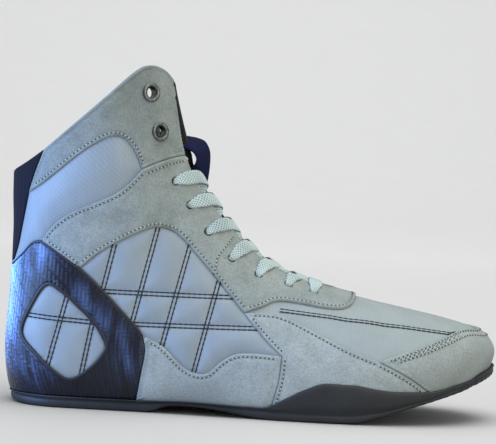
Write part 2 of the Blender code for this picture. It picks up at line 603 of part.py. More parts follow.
lift = TONGUE_RISE - WALL + 0.5 * LOOP_THICK + 0.1
path = [crest_spot(LOOP_HEAD, lift), crest_spot(LOOP_HEAD - 3.0, lift + 1.6)]
path += [np.array(p) for p in PULL_LOOP]
path += [crest_spot(LOOP_FOOT + 3.0, lift + 1.6), crest_spot(LOOP_FOOT, lift)]
path = smooth(path, 3.0)
tangent = np.gradient(path, axis=0)
across = np.stack([tangent[:, 1], -tangent[:, 0]], axis=1)
across = 0.5 * LOOP_THICK * across / np.linalg.norm(across, axis=1, keepdims=True)
ribbon = np.vstack([path + across, (path - across)[::-1]])
count = len(ribbon)
loop_points = [(x, y, z) for y in (-0.5 * LOOP_WIDTH, 0.5 * LOOP_WIDTH) for x, z in ribbon]
half = count // 2
loop_faces = []
for i in range(half - 1):
    near = (i, i + 1, count - 2 - i, count - 1 - i)
    loop_faces.append(near)
    loop_faces.append(tuple(j + count for j in near[::-1]))
loop_faces += [(i, i + count, (i + 1) % count + count, (i + 1) % count) for i in range(count)]
add_solid("pull_loop", "webbing", loop_points, loop_faces)

# Lace: crossing straps at one height above the eyestay, joined where they cross


def lifted(pairs):
    """Points above the upper at signed v, lateral side negative."""
    s, v = pairs[:, 0], pairs[:, 1]
    side = np.where(v < 0, -1.0, 1.0)
    point = surface(s, np.abs(v), side)
    ds = surface(s + 0.03, np.abs(v), side) - surface(s - 0.03, np.abs(v), side)
    ahead, behind = v + 0.01, v - 0.01
    dv = (surface(s, np.abs(ahead), np.where(ahead < 0, -1.0, 1.0))
          - surface(s, np.abs(behind), np.where(behind < 0, -1.0, 1.0)))
    normal = np.cross(dv, ds)
    return point, normal / np.linalg.norm(normal, axis=1, keepdims=True), ds / 0.06, dv / 0.02


def row_along(y, reach, way):
    """(s, signed v) where the surface has a given y and a given reach down the throat."""
    near, far = 5.5, 16.0
    for _ in range(40):
        s = 0.5 * (near + far)
        v = v_at(s, abs(y))
        point = surface(s, v, -1 if y < 0 else 1)
        if point[0] * way[0] + point[2] * way[1] > reach:
            near = s
        else:
            far = s
    return s, math.copysign(v, y)


def strap(start, end, way):
    """Outline of one flat strap as (s, v) points, straight from hole to hole."""
    places = [surface(s, abs(v), -1 if v < 0 else 1) for s, v in (start, end)]
    middle = [start]
    for share in np.linspace(0, 1, 10)[1:-1]:
        spot = places[0] + (places[1] - places[0]) * share
        middle.append(row_along(spot[1], spot[0] * way[0] + spot[2] * way[1], way))
    middle = np.array(middle + [end])
    _, normal, ds, dv = lifted(middle)
    step = np.gradient(middle, axis=0)
    along = ds * step[:, :1] + dv * step[:, 1:]
    side = np.cross(normal, along)
    side = 0.5 * LACE_WIDTH * side / np.linalg.norm(side, axis=1, keepdims=True)
    shift = []
    for a, b, w in zip(ds, dv, side):
        shift.append(np.linalg.lstsq(np.stack([a, b], axis=1), w, rcond=None)[0])
    shift = np.array(shift)
    return np.vstack([middle + shift, (middle - shift)[::-1]])


spots = np.array([locate(x, z) for x, z in LACE_HOLES])
near_spots = spots * (1, -1)
ways = np.diff(np.array(LACE_HOLES), axis=0)
ways = ways / np.linalg.norm(ways, axis=1, keepdims=True)
straps = [strap(near_spots[-1], spots[-1], ways[-1])]
for i, way in enumerate(ways):
    straps.append(strap(near_spots[i], spots[i + 1], way))
    straps.append(strap(spots[i], near_spots[i + 1], way))
lace_points, lace_faces = [], []
for outline in straps:
    lace_faces.append(list(range(len(lace_points), len(lace_points) + len(outline))))
    lace_points.extend(tuple(p) for p in outline * (ROW_SPAN, GIRTH))
cut = delaunay_2d_cdt([Vector(p) for p in lace_points], [], lace_faces, 1, 1e-3)
lace_flat = np.array([tuple(p) for p in cut[0]])
lace_tris = []
for f, origin in zip(cut[2], cut[5]):
    if origin:
        a, b, c = lace_flat[list(f)]
        turn = (b - a)[0] * (c - a)[1] - (b - a)[1] * (c - a)[0]
        lace_tris.append(f[::-1] if turn > 0 else f)
lace_skin, lace_normal, _, _ = lifted(lace_flat / (ROW_SPAN, GIRTH))
lace_low = 3 * GAP + OVERLAY
shell("lace", "lace_braid", lace_skin, lace_normal, np.array(lace_tris), lace_low,
      lace_low + LACE_THICK)

# Metal eyelet rings, turned about the wall's own normal

top = GAP + OVERLAY + GAP
RING_PROFILE = ((RING_HOLE, 0.2 - WALL), (RING_BARREL, 0.2 - WALL), (RING_BARREL, top),
                (RING_FLANGE, top), (RING_FLANGE - 0.3, top + 0.7), (RING_FLANGE - 1.2, top + 1.1),
                (RING_HOLE + 0.5, top + 0.7), (RING_HOLE, top))
RING_STEPS = 12
for side, word in ((-1, "lateral"), (1, "medial")):
    for level, (x, z) in RINGS.items():
        s, v = locate(x, z)
        centre = surface(s, v, side)
        ds = surface(s + 0.2, v, side) - surface(s - 0.2, v, side)
        dv = surface(s, v + 0.05, side) - surface(s, v - 0.05, side)
        axis = np.cross(ds, dv) * -side
        axis = axis / np.linalg.norm(axis)
        right = ds / np.linalg.norm(ds)
        up = np.cross(axis, right)
        ring_points, ring_faces = [], []
        for i in range(RING_STEPS):
            turn = 2 * math.pi * i / RING_STEPS
            spoke = right * math.cos(turn) + up * math.sin(turn)
            ring_points += [centre + spoke * r + axis * h for r, h in RING_PROFILE]
        size = len(RING_PROFILE)
        for i in range(RING_STEPS):
            for j in range(size):
                a, b = i * size, (i + 1) % RING_STEPS * size
                ring_faces.append((a + j, b + j, b + (j + 1) % size, a + (j + 1) % size))
        add_solid(f"eyelet_ring_{level}_{word}", "eyelet_metal", ring_points, ring_faces)

# Sole and insole, built round the base line

path = []
for part in ("base_3", "base_2", "base_1", "base_0"):
    path.extend(seam[part][::-1][:-1])
path.extend(seam["toe"][:-1])
path = np.array(path)
foot = np.vstack([surface(path[:, 0], path[:, 1], -1), surface(0.0, 0.0, -1)[None],
                  surface(path[:0:-1, 0], path[:0:-1, 1], 1)])
ahead, behind = np.roll(foot, -1, axis=0), np.roll(foot, 1, axis=0)
tangent = (ahead - behind)[:, :2]
outward = np.stack([tangent[:, 1], -tangent[:, 0], np.zeros(len(foot))], axis=1)
outward /= np.linalg.norm(outward, axis=1, keepdims=True)
base_knots = [(row[2], row[3]) for row in list(SECTIONS.values())[HEEL_ROW::-1]]
base_knots = [(-10.0, 6.0)] + base_knots + [(287.8, 32.5), (300.0, 38.0)]
foot_height = curve(*zip(*base_knots))
tree = BVHTree.FromPolygons([Vector(p) for p in skin],
                            [tuple(int(i) for i in f) for f in upper_faces])
cover = GAP + OVERLAY + GAP


def fill(outline, spots, loops=()):
    """Triangles of a closed plan outline, with extra points and slot edges inside it."""
    points = [tuple(p[:2]) for p in outline]
    edges = [(i, (i + 1) % len(points)) for i in range(len(points))]
    for ring in loops:
        first = len(points)
        points.extend(tuple(p) for p in ring)
        edges.extend((first + i, first + (i + 1) % len(ring)) for i in range(len(ring)))
    points.extend(tuple(p) for p in spots)
    cut = delaunay_2d_cdt([Vector(p) for p in points], edges, [], 0, 1e-4)
    where = np.array([tuple(p) for p in cut[0]])
    polygon = np.array([p[:2] for p in outline])
    kept = []
    for f in cut[2]:
        if inside(where[list(f)].mean(axis=0)[None], polygon)[0]:
            a, b, c = where[list(f)]
            turn = (b - a)[0] * (c - a)[1] - (b - a)[1] * (c - a)[0]
            kept.append(tuple(f) if turn > 0 else tuple(f[::-1]))
    order = [min(range(len(where)), key=lambda k: np.sum((where[k] - p[:2]) ** 2))
             for p in outline]
    return where, kept, order


def plan_grid(outline, spacing, loops=()):
    outline = np.array([p[:2] for p in outline])
    low, high = outline.min(axis=0), outline.max(axis=0)
    spots = np.array([(x, y) for x in np.arange(low[0], high[0], spacing)
                      for y in np.arange(low[1] + 0.4 * spacing, high[1], spacing)])
    spots = spots[inside(spots, outline)]
    rings = [np.vstack([outline, outline[:1]])] + [np.vstack([r, r[:1]]) for r in loops]
    return clear_of(spots, rings, 0.5 * spacing)


profile = []
for point, out in zip(foot, outward):
    x, rise = point[0], float(lip_rise(point[0]))
    outer = cover + RIM
    edge = point + out * (outer - float(sole_bevel(x)))
    low = float(underside(edge[0]))
    shoulder = low + min(0.6 * float(sole_bevel(x)), 0.45 * (point[2] - GAP - low))
    column = [np.array([edge[0], edge[1], low]),
              np.array([*(point + out * outer)[:2], shoulder]),
              np.array([*(point + out * outer)[:2], point[2] - GAP])]
    lips = []
    for share in (0.25, 0.6, 1.0):
        height = point[2] + rise * share
        start = point + out * 40.0
        hit, normal, _, _ = tree.ray_cast(Vector((start[0], start[1], height)), Vector(-out))
        lean = max(float(np.dot(np.array(normal), out)), 0.55)
        hit = np.array(hit)
        lips.append((hit + out * (cover / lean + 0.3), RIM * (1.0 - 0.3 * share)))
    column += [inner + out * thick for inner, thick in lips]
    column += [inner for inner, thick in lips[::-1]]
    column.append(np.array([*(point + out * cover)[:2], point[2] - GAP]))
    profile.append(column)
profile = np.array(profile)
around, ranks = profile.shape[:2]
sole_points = list(profile.reshape(-1, 3))
sole_faces = []
for i in range(around):
    j = (i + 1) % around
    for k in range(ranks - 1):
        sole_faces.append((i * ranks + k, j * ranks + k, j * ranks + k + 1, i * ranks + k + 1))

ground = profile[:, 0]
halves = len(path)
slots = []
for x in LUG_SLOTS:
    near = np.interp(x, ground[1:halves, 0], ground[1:halves, 1]) + 7.0
    far = np.interp(x, ground[:halves:-1, 0], ground[:halves:-1, 1]) - 7.0
    for grow in (0.5 * SLOT_WIDTH, 0.5 * SLOT_WIDTH - 0.6):
        slots.append(np.array([(x - grow, near - grow), (x + grow, near - grow),
                               (x + grow, far + grow), (x - grow, far + grow)]))
floors = slots[1::2]
for outline, loops, turn, depth in ((ground, slots, -1, None), (profile[:, -1], (), 1, GAP)):
    where, triangles, order = fill(outline, plan_grid(outline, 15.0, loops), loops)
    index = {}
    rank = 0 if turn < 0 else ranks - 1
    for i, k in enumerate(order):
        index[k] = i * ranks + rank
    for k, (x, y) in enumerate(where):
        if k in index:
            continue
        if depth is None:
            deep = any(r[0, 0] - 1e-3 <= x <= r[1, 0] + 1e-3
                       and r[0, 1] - 1e-3 <= y <= r[2, 1] + 1e-3 for r in floors)
            z = float(underside(x)) + (SLOT_DEPTH if deep else 0.0)
        else:
            z = float(foot_height(x)) - depth
        index[k] = len(sole_points)
        sole_points.append(np.array([x, y, z]))
    sole_faces += [tuple(index[k] for k in f[::turn]) for f in triangles]
add_solid("outsole", "outsole_rubber", sole_points, sole_faces)

bed = foot - outward * (WALL + 1.0)
where, triangles, order = fill(bed, plan_grid(bed, 17.0))
heights = foot_height(where[:, 0]) + 0.1
low_points = np.column_stack([where, heights])
count = len(where)
bed_faces = [f[::-1] for f in triangles] + [tuple(k + count for k in f) for f in triangles]
for a, b in zip(order, order[1:] + order[:1]):
    bed_faces.append((a, b, b + count, a + count))
add_solid("insole", "insole_fabric", np.vstack([low_points, low_points + (0, 0, INSOLE)]), bed_faces)

# Origin at the middle of the box, on the floor

corners = np.array([np.array(solid.data.vertices[0].co) for solid in root.children])
for solid in root.children:
    points = np.array([tuple(vertex.co) for vertex in solid.data.vertices])
    corners = np.vstack([corners, points.min(axis=0), points.max(axis=0)])
middle = 0.5 * (corners.min(axis=0) + corners.max(axis=0))
root.location = (-middle[0], -middle[1], -corners[:, 2].min())
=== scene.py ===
import json
import math

import bpy
import numpy as np
from mathutils import Matrix, Vector
from mathutils.bvhtree import BVHTree
from mathutils.geometry import delaunay_2d_cdt
from mathutils.kdtree import KDTree

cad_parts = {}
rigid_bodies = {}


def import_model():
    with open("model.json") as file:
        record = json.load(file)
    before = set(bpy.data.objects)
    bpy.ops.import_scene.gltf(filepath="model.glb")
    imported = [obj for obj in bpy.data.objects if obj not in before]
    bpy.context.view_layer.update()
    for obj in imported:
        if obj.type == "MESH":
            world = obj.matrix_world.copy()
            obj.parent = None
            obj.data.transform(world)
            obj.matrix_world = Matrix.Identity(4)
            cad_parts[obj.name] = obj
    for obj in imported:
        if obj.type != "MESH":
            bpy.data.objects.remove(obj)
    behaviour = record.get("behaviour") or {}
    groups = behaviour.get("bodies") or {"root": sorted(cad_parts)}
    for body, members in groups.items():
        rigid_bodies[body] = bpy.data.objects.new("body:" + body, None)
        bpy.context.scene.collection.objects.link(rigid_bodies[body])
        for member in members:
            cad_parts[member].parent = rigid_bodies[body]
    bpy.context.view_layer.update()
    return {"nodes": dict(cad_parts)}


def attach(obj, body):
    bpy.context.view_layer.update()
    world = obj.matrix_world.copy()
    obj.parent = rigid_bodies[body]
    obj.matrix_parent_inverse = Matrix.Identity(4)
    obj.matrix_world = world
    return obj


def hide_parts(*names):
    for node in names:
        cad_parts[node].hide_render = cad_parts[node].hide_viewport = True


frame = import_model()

scene = bpy.context.scene
mm = 0.001
shift = np.array([-145.728, 1.176, 0.0])  # back of the heel to the frame's origin, in mm

# The last: one row per section, toe to collar, in mm
columns = ("crestX", "crestZ", "baseX", "baseZ", "lateral", "medial",
           "baseLateral", "baseMedial", "low", "crestRound", "baseRound", "ridge")
sections = (
    (287.8, 32.5, 276.4, 27.2, 46.0, 46.0, 26.0, 26.0, 5.60, 2.0, 2.0, 3.0),
    (289.6, 41.0, 270.0, 24.2, 37.6, 38.0, 32.5, 33.0, 2.00, 2.0, 2.0, 3.0),
    (286.0, 48.5, 262.0, 21.0, 38.0, 38.6, 37.2, 37.8, 1.25, 2.05, 2.0, 3.0),
    (277.0, 54.6, 252.0, 17.0, 42.0, 43.0, 41.2, 42.2, 0.90, 2.15, 2.0, 3.0),
    (260.0, 59.4, 238.0, 13.0, 46.6, 46.8, 45.0, 45.3, 0.80, 2.2, 2.0, 3.0),
    (238.0, 63.8, 221.0, 8.5, 49.8, 48.6, 47.4, 46.6, 0.76, 2.2, 2.0, 3.0),
    (214.0, 68.4, 199.0, 6.0, 51.0, 48.5, 48.2, 46.0, 0.74, 2.2, 2.0, 3.5),
    (191.0, 73.8, 172.0, 6.0, 49.5, 46.5, 46.5, 43.0, 0.72, 2.1, 2.0, 4.0),
    (170.0, 80.5, 143.0, 6.4, 46.5, 43.0, 42.4, 37.0, 0.69, 2.05, 2.0, 4.0),
    (152.0, 90.2, 112.0, 7.0, 43.0, 39.5, 37.4, 32.4, 0.65, 2.0, 2.0, 3.5),
    (137.0, 103.6, 78.0, 6.2, 40.0, 37.6, 34.0, 32.0, 0.60, 2.0, 2.1, 2.5),
    (125.0, 118.0, 42.0, 6.0, 38.0, 36.6, 31.6, 31.2, 0.55, 2.0, 2.2, 1.5),
    (116.0, 130.5, 7.2, 6.0, 37.0, 36.2, 0.0, 0.0, 0.50, 2.0, 2.4, 1.0),
    (109.2, 142.0, 1.6, 36.0, 36.6, 36.0, 0.0, 0.0, 0.47, 2.0, 2.5, 0.5),
    (104.6, 153.0, 3.4, 70.0, 36.4, 36.0, 0.0, 0.0, 0.47, 2.0, 2.3, 0.0),
    (101.4, 166.0, 3.4, 100.0, 36.5, 36.0, 0.0, 0.0, 0.48, 2.0, 2.1, 0.0),
    (98.6, 180.0, 2.4, 124.0, 37.0, 36.5, 0.0, 0.0, 0.49, 2.0, 2.0, 0.0),
    (95.6, 195.0, 2.2, 147.0, 37.5, 37.0, 0.0, 0.0, 0.50, 2.0, 2.0, 0.0),
    (92.8, 213.0, 2.2, 172.0, 38.0, 37.5, 0.0, 0.0, 0.50, 2.0, 2.0, 0.0),
)
seatRow, heelRow, topRow = 11, 12, len(sections) - 1.0
heelRound = 2.2
throat = {"row": (6.87, 7.0, 7.3, 8.0, 10.0, 12.0, 14.0, 16.0, 17.0),
          "half": (0.0, 6.5, 9.6, 10.5, 11.0, 12.0, 13.0, 13.5, 13.5)}


def curve(knots, values):
    knots, values = np.asarray(knots, float), np.asarray(values, float)
    step = np.diff(knots)
    rise = np.diff(values) / step
    slope = np.zeros(len(knots))
    same = rise[:-1] * rise[1:] > 0
    slope[1:-1][same] = 2 * (rise[:-1] * rise[1:])[same] / (rise[:-1] + rise[1:])[same]
    slope[0], slope[-1] = rise[0], rise[-1]

    def at(x):
        x = np.clip(np.asarray(x, float), knots[0], knots[-1])
        i = np.clip(np.searchsorted(knots, x, side="right") - 1, 0, len(step) - 1)
        t = (x - knots[i]) / step[i]
        start = values[i] * (1 + 2 * t) + slope[i] * step[i] * t
        end = values[i + 1] * (3 - 2 * t) - slope[i + 1] * step[i] * (1 - t)
        return start * (1 - t) ** 2 + end * t * t

    return at


last = {name: curve(range(len(sections)), [row[i] for row in sections])
        for i, name in enumerate(columns)}
throatHalf = curve(throat["row"], throat["half"])


def soft(t):  # eased 0 to 1
    t = np.clip(t, 0, 1)
    return t * t * (3 - 2 * t)


def unit(vectors):
    return vectors / np.maximum(np.linalg.norm(vectors, axis=-1, keepdims=True), 1e-9)


def hump(gap, at, wide):
    return np.exp(-((gap - at) / wide) ** 2)


def reachOf(points):  # distance along a line of points
    return np.concatenate([[0], np.cumsum(np.linalg.norm(np.diff(points, axis=0), axis=1))])


def evenMarks(reach, spacing):
    return np.linspace(0, reach[-1], max(1, int(round(reach[-1] / spacing))) + 1)


def sampled(marks, reach, values):  # values of a line read at other distances
    return np.stack([np.interp(marks, reach, values[:, i]) for i in range(values.shape[1])], axis=-1)


def fromSegment(points, start, end):  # share along a straight line, and distance from it
    along = np.subtract(end, start)
    share = np.clip((points - start) @ along / (along @ along), 0, 1)
    return share, np.linalg.norm(points - start - share[:, None] * along, axis=1)


def baseHalf(s, side):
    width = np.where(side < 0, last["baseLateral"](s), last["baseMedial"](s))
    seat = np.where(side < 0, last["baseLateral"](seatRow), last["baseMedial"](seatRow))
    back, front = last["baseX"](heelRow), last["baseX"](seatRow)
    share = np.clip((front - last["baseX"](s)) / (front - back), 0, 1)
    heel = seat * np.maximum(1 - share ** heelRound, 0) ** (1 / heelRound)
    return np.where(s >= heelRow, 0.0, np.where(s > seatRow, heel, width))


def endAngle(low, power):
    fall = np.maximum(1 - 1 / np.maximum(low, 1.0), 0)
    return np.arctan2((1 - fall ** power) ** (1 / power), fall)


def surface(s, v, side):  # outer face of the upper: v is 0 at the crest and 1 at the base line
    s, v, side = np.broadcast_arrays(*(np.asarray(a, float) for a in (s, v, side)))
    low = last["low"](s)
    split = np.minimum(low, 1.0)
    upper = v <= split
    power = np.where(upper, last["crestRound"](s), last["baseRound"](s))
    down = endAngle(low, last["crestRound"](s)) * v / split
    under = 0.5 * math.pi * (1 - v) / np.maximum(1 - split, 1e-6)
    angle = np.clip(np.where(upper, down, under), 0, 0.5 * math.pi)
    sine, cosine = np.sin(angle), np.abs(np.cos(angle))
    length = (sine ** power + cosine ** power) ** (1 / power)
    out, fall = sine / length, cosine / length
    wide = np.where(side < 0, last["lateral"](s), last["medial"](s))
    start = np.where(upper, 0.0, baseHalf(s, side))
    share = low + np.where(upper, -low, 1 - low) * fall
    x = last["crestX"](s) + share * (last["baseX"](s) - last["crestX"](s))
    z = last["crestZ"](s) + share * (last["baseZ"](s) - last["crestZ"](s))
    y = side * (start + (wide - start) * out) + np.where(upper, last["ridge"](s) * fall ** 2, 0.0)
    return np.stack([x, y, z], axis=-1)


def onSide(pairs, side=-1):
    return surface(pairs[:, 0], pairs[:, 1], side)


def locate(points):  # (s, v) of places given in the side view
    points = np.asarray(points, float).reshape(-1, 2)
    x, z = points[:, 0], points[:, 1]

    def off(s, x, z):
        run, drop = last["baseX"](s) - last["crestX"](s), last["baseZ"](s) - last["crestZ"](s)
        return (x - last["crestX"](s)) * drop - (z - last["crestZ"](s)) * run

    tries = np.linspace(0, topRow, 361)
    sign = np.sign(off(tries[None], x[:, None], z[:, None]))
    first = (sign[:, :-1] * sign[:, 1:] <= 0).argmax(axis=1)
    near, far = tries[first], tries[first + 1]
    for _ in range(40):
        middle = 0.5 * (near + far)
        left = off(near, x, z) * off(middle, x, z) <= 0
        near, far = np.where(left, near, middle), np.where(left, middle, far)
    s = 0.5 * (near + far)
    run, drop = last["baseX"](s) - last["crestX"](s), last["baseZ"](s) - last["crestZ"](s)
    share = (x - last["crestX"](s)) * run + (z - last["crestZ"](s)) * drop
    share = np.clip(share / (run ** 2 + drop ** 2), 0, 1)
    low = last["low"](s)
    split = np.minimum(low, 1.0)
    power = last["crestRound"](s)
    fall = np.clip(1 - share / low, 0, 1)
    upper = split * np.arctan2((1 - fall ** power) ** (1 / power), fall) / endAngle(low, power)
    power = last["baseRound"](s)
    fall = np.clip((share - low) / np.maximum(1 - low, 1e-6), 0, 1)
    under = np.arctan2((1 - fall ** power) ** (1 / power), fall) / (0.5 * math.pi)
    return np.stack([s, np.where(share <= low, upper, 1 - (1 - split) * under)], axis=1)


def tangents(s, v, side):
    ahead, behind = np.minimum(v + 0.01, 1.0), np.maximum(v - 0.01, 0.0)
    up, down = np.minimum(s + 0.03, topRow), np.maximum(s - 0.03, 0.0)
    ds = (surface(up, v, side) - surface(down, v, side)) / np.reshape(up - down, (-1, 1))
    dv = (surface(s, ahead, side) - surface(s, behind, side)) / np.reshape(ahead - behind, (-1, 1))
    return ds, dv


def stepped(pairs, move):  # (s, v) after a small move given as vectors in the surface
    ds, dv = tangents(pairs[:, 0], pairs[:, 1], -1)
    a, b, c = (ds * ds).sum(1), (ds * dv).sum(1), (dv * dv).sum(1)
    p, q = (move * ds).sum(1), (move * dv).sum(1)
    det = np.maximum(a * c - b * b, 1e-6)
    return pairs + np.stack([(p * c - q * b) / det, (q * a - p * b) / det], axis=1)


def acrossLine(pairs):  # unit vectors in the surface, square to a line of (s, v)
    ds, dv = tangents(pairs[:, 0], pairs[:, 1], -1)
    return unit(np.cross(np.cross(dv, ds), np.gradient(onSide(pairs), axis=0)))


def wound(points, triangles):  # all turned the same way round, slivers left out
    a, b, c = (points[triangles[:, i]] for i in range(3))
    turn = (b - a)[:, 0] * (c - a)[:, 1] - (b - a)[:, 1] * (c - a)[:, 0]
    triangles[turn < 0] = triangles[turn < 0][:, ::-1]
    return triangles[np.abs(turn) > 1e-6]


def meshTree(points, faces):
    return BVHTree.FromPolygons([Vector(p) for p in points], [tuple(int(i) for i in f) for f in faces])


def resample(points, spacing, closed=False):  # even points along a smooth curve
    points = np.asarray(points, float)
    if closed:
        points = np.vstack([points, points[:1]])
        before, after = points[-2], points[1]
    else:
        before, after = 2 * points[0] - points[1], 2 * points[-1] - points[-2]
    padded = np.vstack([before, points, after])
    fine = []
    for a, b, c, d in zip(padded, padded[1:], padded[2:], padded[3:]):
        for t in np.linspace(0, 1, 12, endpoint=False):
            bend = 2 * a - 5 * b + 4 * c - d + t * (3 * (b - c) + d - a)
            fine.append(b + 0.5 * t * (c - a + t * bend))
    fine = np.array(fine + [points[-1]])
    reach = reachOf(fine)
    even = sampled(evenMarks(reach, spacing), reach, fine)
    return even[:-1] if closed else even


def inside(points, polygon):
    x, y = points[:, 0], points[:, 1]
    hit = np.zeros(len(points), bool)
    for (ax, ay), (bx, by) in zip(polygon, np.roll(polygon, -1, axis=0)):
        if ay != by:
            hit ^= ((ay > y) != (by > y)) & (x < (bx - ax) * (y - ay) / (by - ay) + ax)
    return hit


def treeOf(points):  # flat points lie at height 0
    tree = KDTree(len(points))
    for i, p in enumerate(points):
        tree.insert((*p, 0.0)[:3], i)
    tree.balance()
    return tree


def nearest(tree, points):
    return np.array([tree.find((*p, 0.0)[:3])[2] for p in points])


# Pattern pieces as drawn on the side of the last, (x, z) in mm
pattern = {
    "seamStep": 2.0, "fieldStep": 2.1, "rowSpan": 20.0, "girth": 105.0,
    "beside": (0.35, 0.85, 1.5, 2.2, 3.0),   # extra rows of points along both sides of a seam
    "besideRow": (-2.3, -1.05, 0.0, 1.05, 2.3), "rowStep": 1.8,   # and along the quilting
    "heelShares": (0.988, 0.97, 0.95, 0.925, 0.9, 0.87, 0.835, 0.8),   # and round the heel's tight corner
    "closest": 0.33, "cell": 0.5, "fieldClear": 1.5,
    "seams": {
        "flap": ((94.8, 183.0), (93.3, 189.4), (91.4, 195.2), (87.0, 199.3), (80.6, 200.8),
                 (74.0, 198.0), (64.0, 189.0), (42.0, 168.4), (21.5, 149.6)),
        "gussetTop": ((21.5, 149.6), (12.0, 142.4), (2.2, 136.0)),
        "gussetSide": ((21.5, 149.6), (17.0, 137.0), (13.0, 123.6)),
        "gussetLow": ((13.0, 123.6), (9.6, 104.0), (7.2, 91.0), (3.4, 80.0)),
        "cuff": ((13.0, 123.6), (23.0, 131.0), (42.0, 147.6), (51.0, 154.0), (59.0, 158.4),
                 (66.5, 158.0), (72.0, 153.0), (75.5, 146.6), (78.0, 140.4)),
        "stayTop": ((78.0, 140.4), (84.0, 143.4), (92.0, 146.6), (100.0, 149.0)),
        "stayBack": ((22.0, 96.0), (26.0, 102.5), (32.0, 109.0), (41.0, 115.0), (52.0, 120.0),
                     (64.0, 126.0), (72.0, 133.0), (78.0, 140.4)),
        "counterTop": ((3.4, 80.0), (11.0, 87.6), (17.0, 94.6), (22.0, 96.0)),
        "counterStay": ((22.0, 96.0), (30.0, 91.4), (45.0, 81.6)),
        "counterFront": ((45.0, 81.6), (57.0, 71.0), (69.0, 59.0), (78.0, 50.4), (83.2, 44.6)),
        "counterFoot": ((83.2, 44.6), (85.0, 36.0), (83.4, 24.0), (81.6, 12.0), (80.6, 6.2)),
        "quiltTop": ((45.0, 81.6), (55.0, 90.6), (65.0, 97.0), (76.0, 103.0), (85.0, 106.6),
                     (93.0, 106.6), (101.0, 103.0), (111.0, 93.0), (123.0, 80.0), (141.0, 60.0)),
        "quiltFront": ((141.0, 60.0), (149.0, 51.0), (157.0, 43.0), (164.0, 37.0)),
        "guardTop": ((83.2, 44.6), (94.0, 40.0), (103.0, 32.0), (109.0, 27.0), (116.0, 24.4),
                     (122.0, 25.4), (129.0, 32.0), (137.0, 36.8), (148.0, 37.8), (164.0, 37.0)),
        "guardFront": ((164.0, 37.0), (163.0, 24.0), (161.0, 15.0), (159.0, 6.1)),
        "stayLow": ((141.0, 60.0), (151.0, 63.4), (160.0, 67.0), (174.0, 66.0), (186.0, 64.2),
                    (196.0, 63.8), (203.0, 65.6), (207.0, 69.8)),
        "foreTop": ((141.0, 60.0), (152.0, 60.4), (165.0, 58.4), (185.0, 50.0), (203.0, 42.0),
                    (219.0, 36.4)),
        "foreFront": ((219.0, 36.4), (229.0, 32.0), (239.0, 26.8), (248.0, 20.6), (252.0, 17.0)),
        "capTop": ((219.0, 36.4), (233.0, 41.2), (244.0, 45.0), (256.0, 49.6), (268.0, 53.6),
                   (280.0, 53.2)),
        "window": ((26.0, 71.4), (36.0, 67.6), (46.0, 59.4), (56.0, 49.8), (62.4, 39.0),
                   (61.0, 33.0), (54.0, 24.4), (43.0, 17.2), (34.0, 20.4), (21.0, 31.4),
                   (12.6, 42.0), (17.0, 57.0)),
    },
    # where a seam's end lies on the border of the half pattern
    "onCrest": {"capTop": -1, "stayLow": -1},
    "onBase": {"counterFoot": -1, "guardFront": -1, "foreFront": -1},
    "onBack": {"gussetTop": -1, "gussetLow": -1, "counterTop": 0},
    "onThroat": {"flap": 0, "stayTop": -1},
    "laceHoles": ((97.0, 134.0), (106.0, 120.0), (117.5, 105.0), (132.0, 90.0), (148.0, 81.0),
                  (166.0, 75.6), (181.0, 71.8)),
    "laceHoleRadius": 2.3,
    "rings": {"upper": (81.0, 185.0), "lower": (87.0, 162.5)},
    "ringHoleRadius": 4.1,
    "tongueTop": 16.9,
}
flatScale = np.array([pattern["rowSpan"], pattern["girth"]])


def rowWhere(column, value, first, end):
    tries = np.linspace(first, end, 4001)
    return float(tries[np.argmin(np.abs(last[column](tries) - value))])


def vAt(s, half):  # v where a section has that half width
    power = last["crestRound"](s)
    out = np.clip(half / last["lateral"](s), 0, 1)
    return last["low"](s) * np.arctan2(out, (1 - out ** power) ** (1 / power)) / (0.5 * math.pi)


def throatV(s):
    return vAt(s, throatHalf(s))


def throatRow(z):
    tries = np.linspace(8.0, 17.6, 1201)
    return float(tries[np.argmin(np.abs(surface(tries, throatV(tries), -1)[:, 2] - z))])


def evenRows(path, spacing):  # thin out a dense (s, v) path to even steps on the surface
    reach = reachOf(onSide(path))
    return sampled(evenMarks(reach, spacing), reach, path)


seam = {name: locate(resample(points, pattern["seamStep"], name == "window"))
        for name, points in pattern["seams"].items()}
for name, end in pattern["onCrest"].items():
    seam[name][end] = rowWhere("crestX", pattern["seams"][name][end][0], 1.5, 12), 0.0
for name, end in pattern["onBase"].items():
    seam[name][end] = rowWhere("baseX", pattern["seams"][name][end][0], 0, heelRow), 1.0
for name, end in pattern["onBack"].items():
    seam[name][end] = rowWhere("baseZ", pattern["seams"][name][end][1], heelRow, topRow), 1.0
for name, end in pattern["onThroat"].items():
    row = throatRow(pattern["seams"][name][end][1])
    seam[name][end] = row, float(throatV(row))
throatStart, stayRow, flapRow = throat["row"][0], seam["stayTop"][-1][0], seam["flap"][0][0]
dense = throatStart + (stayRow - throatStart) * np.linspace(0, 1, 900) ** 1.6
seam["throatLow"] = evenRows(np.stack([dense, throatV(dense)], axis=1), pattern["seamStep"])
dense = np.linspace(stayRow, flapRow, 300)
seam["throatHigh"] = evenRows(np.stack([dense, throatV(dense)], axis=1), pattern["seamStep"])
crestStops = [0.0, seam["capTop"][-1][0], seam["stayLow"][-1][0], throatStart]
baseStops = [0.0] + [seam[n][-1][0] for n in ("foreFront", "guardFront", "counterFoot")]
baseStops.append(float(heelRow))
backStops = [float(heelRow), seam["counterTop"][0][0], seam["gussetTop"][-1][0]]
for name, stops, v in (("crest", crestStops, 0.0), ("base", baseStops, 1.0), ("back", backStops, 1.0)):
    for i, (a, b) in enumerate(zip(stops, stops[1:])):
        dense = np.stack([np.linspace(a, b, 200), np.full(200, v)], axis=1)
        seam[f"{name}{i}"] = evenRows(dense, 2.4)
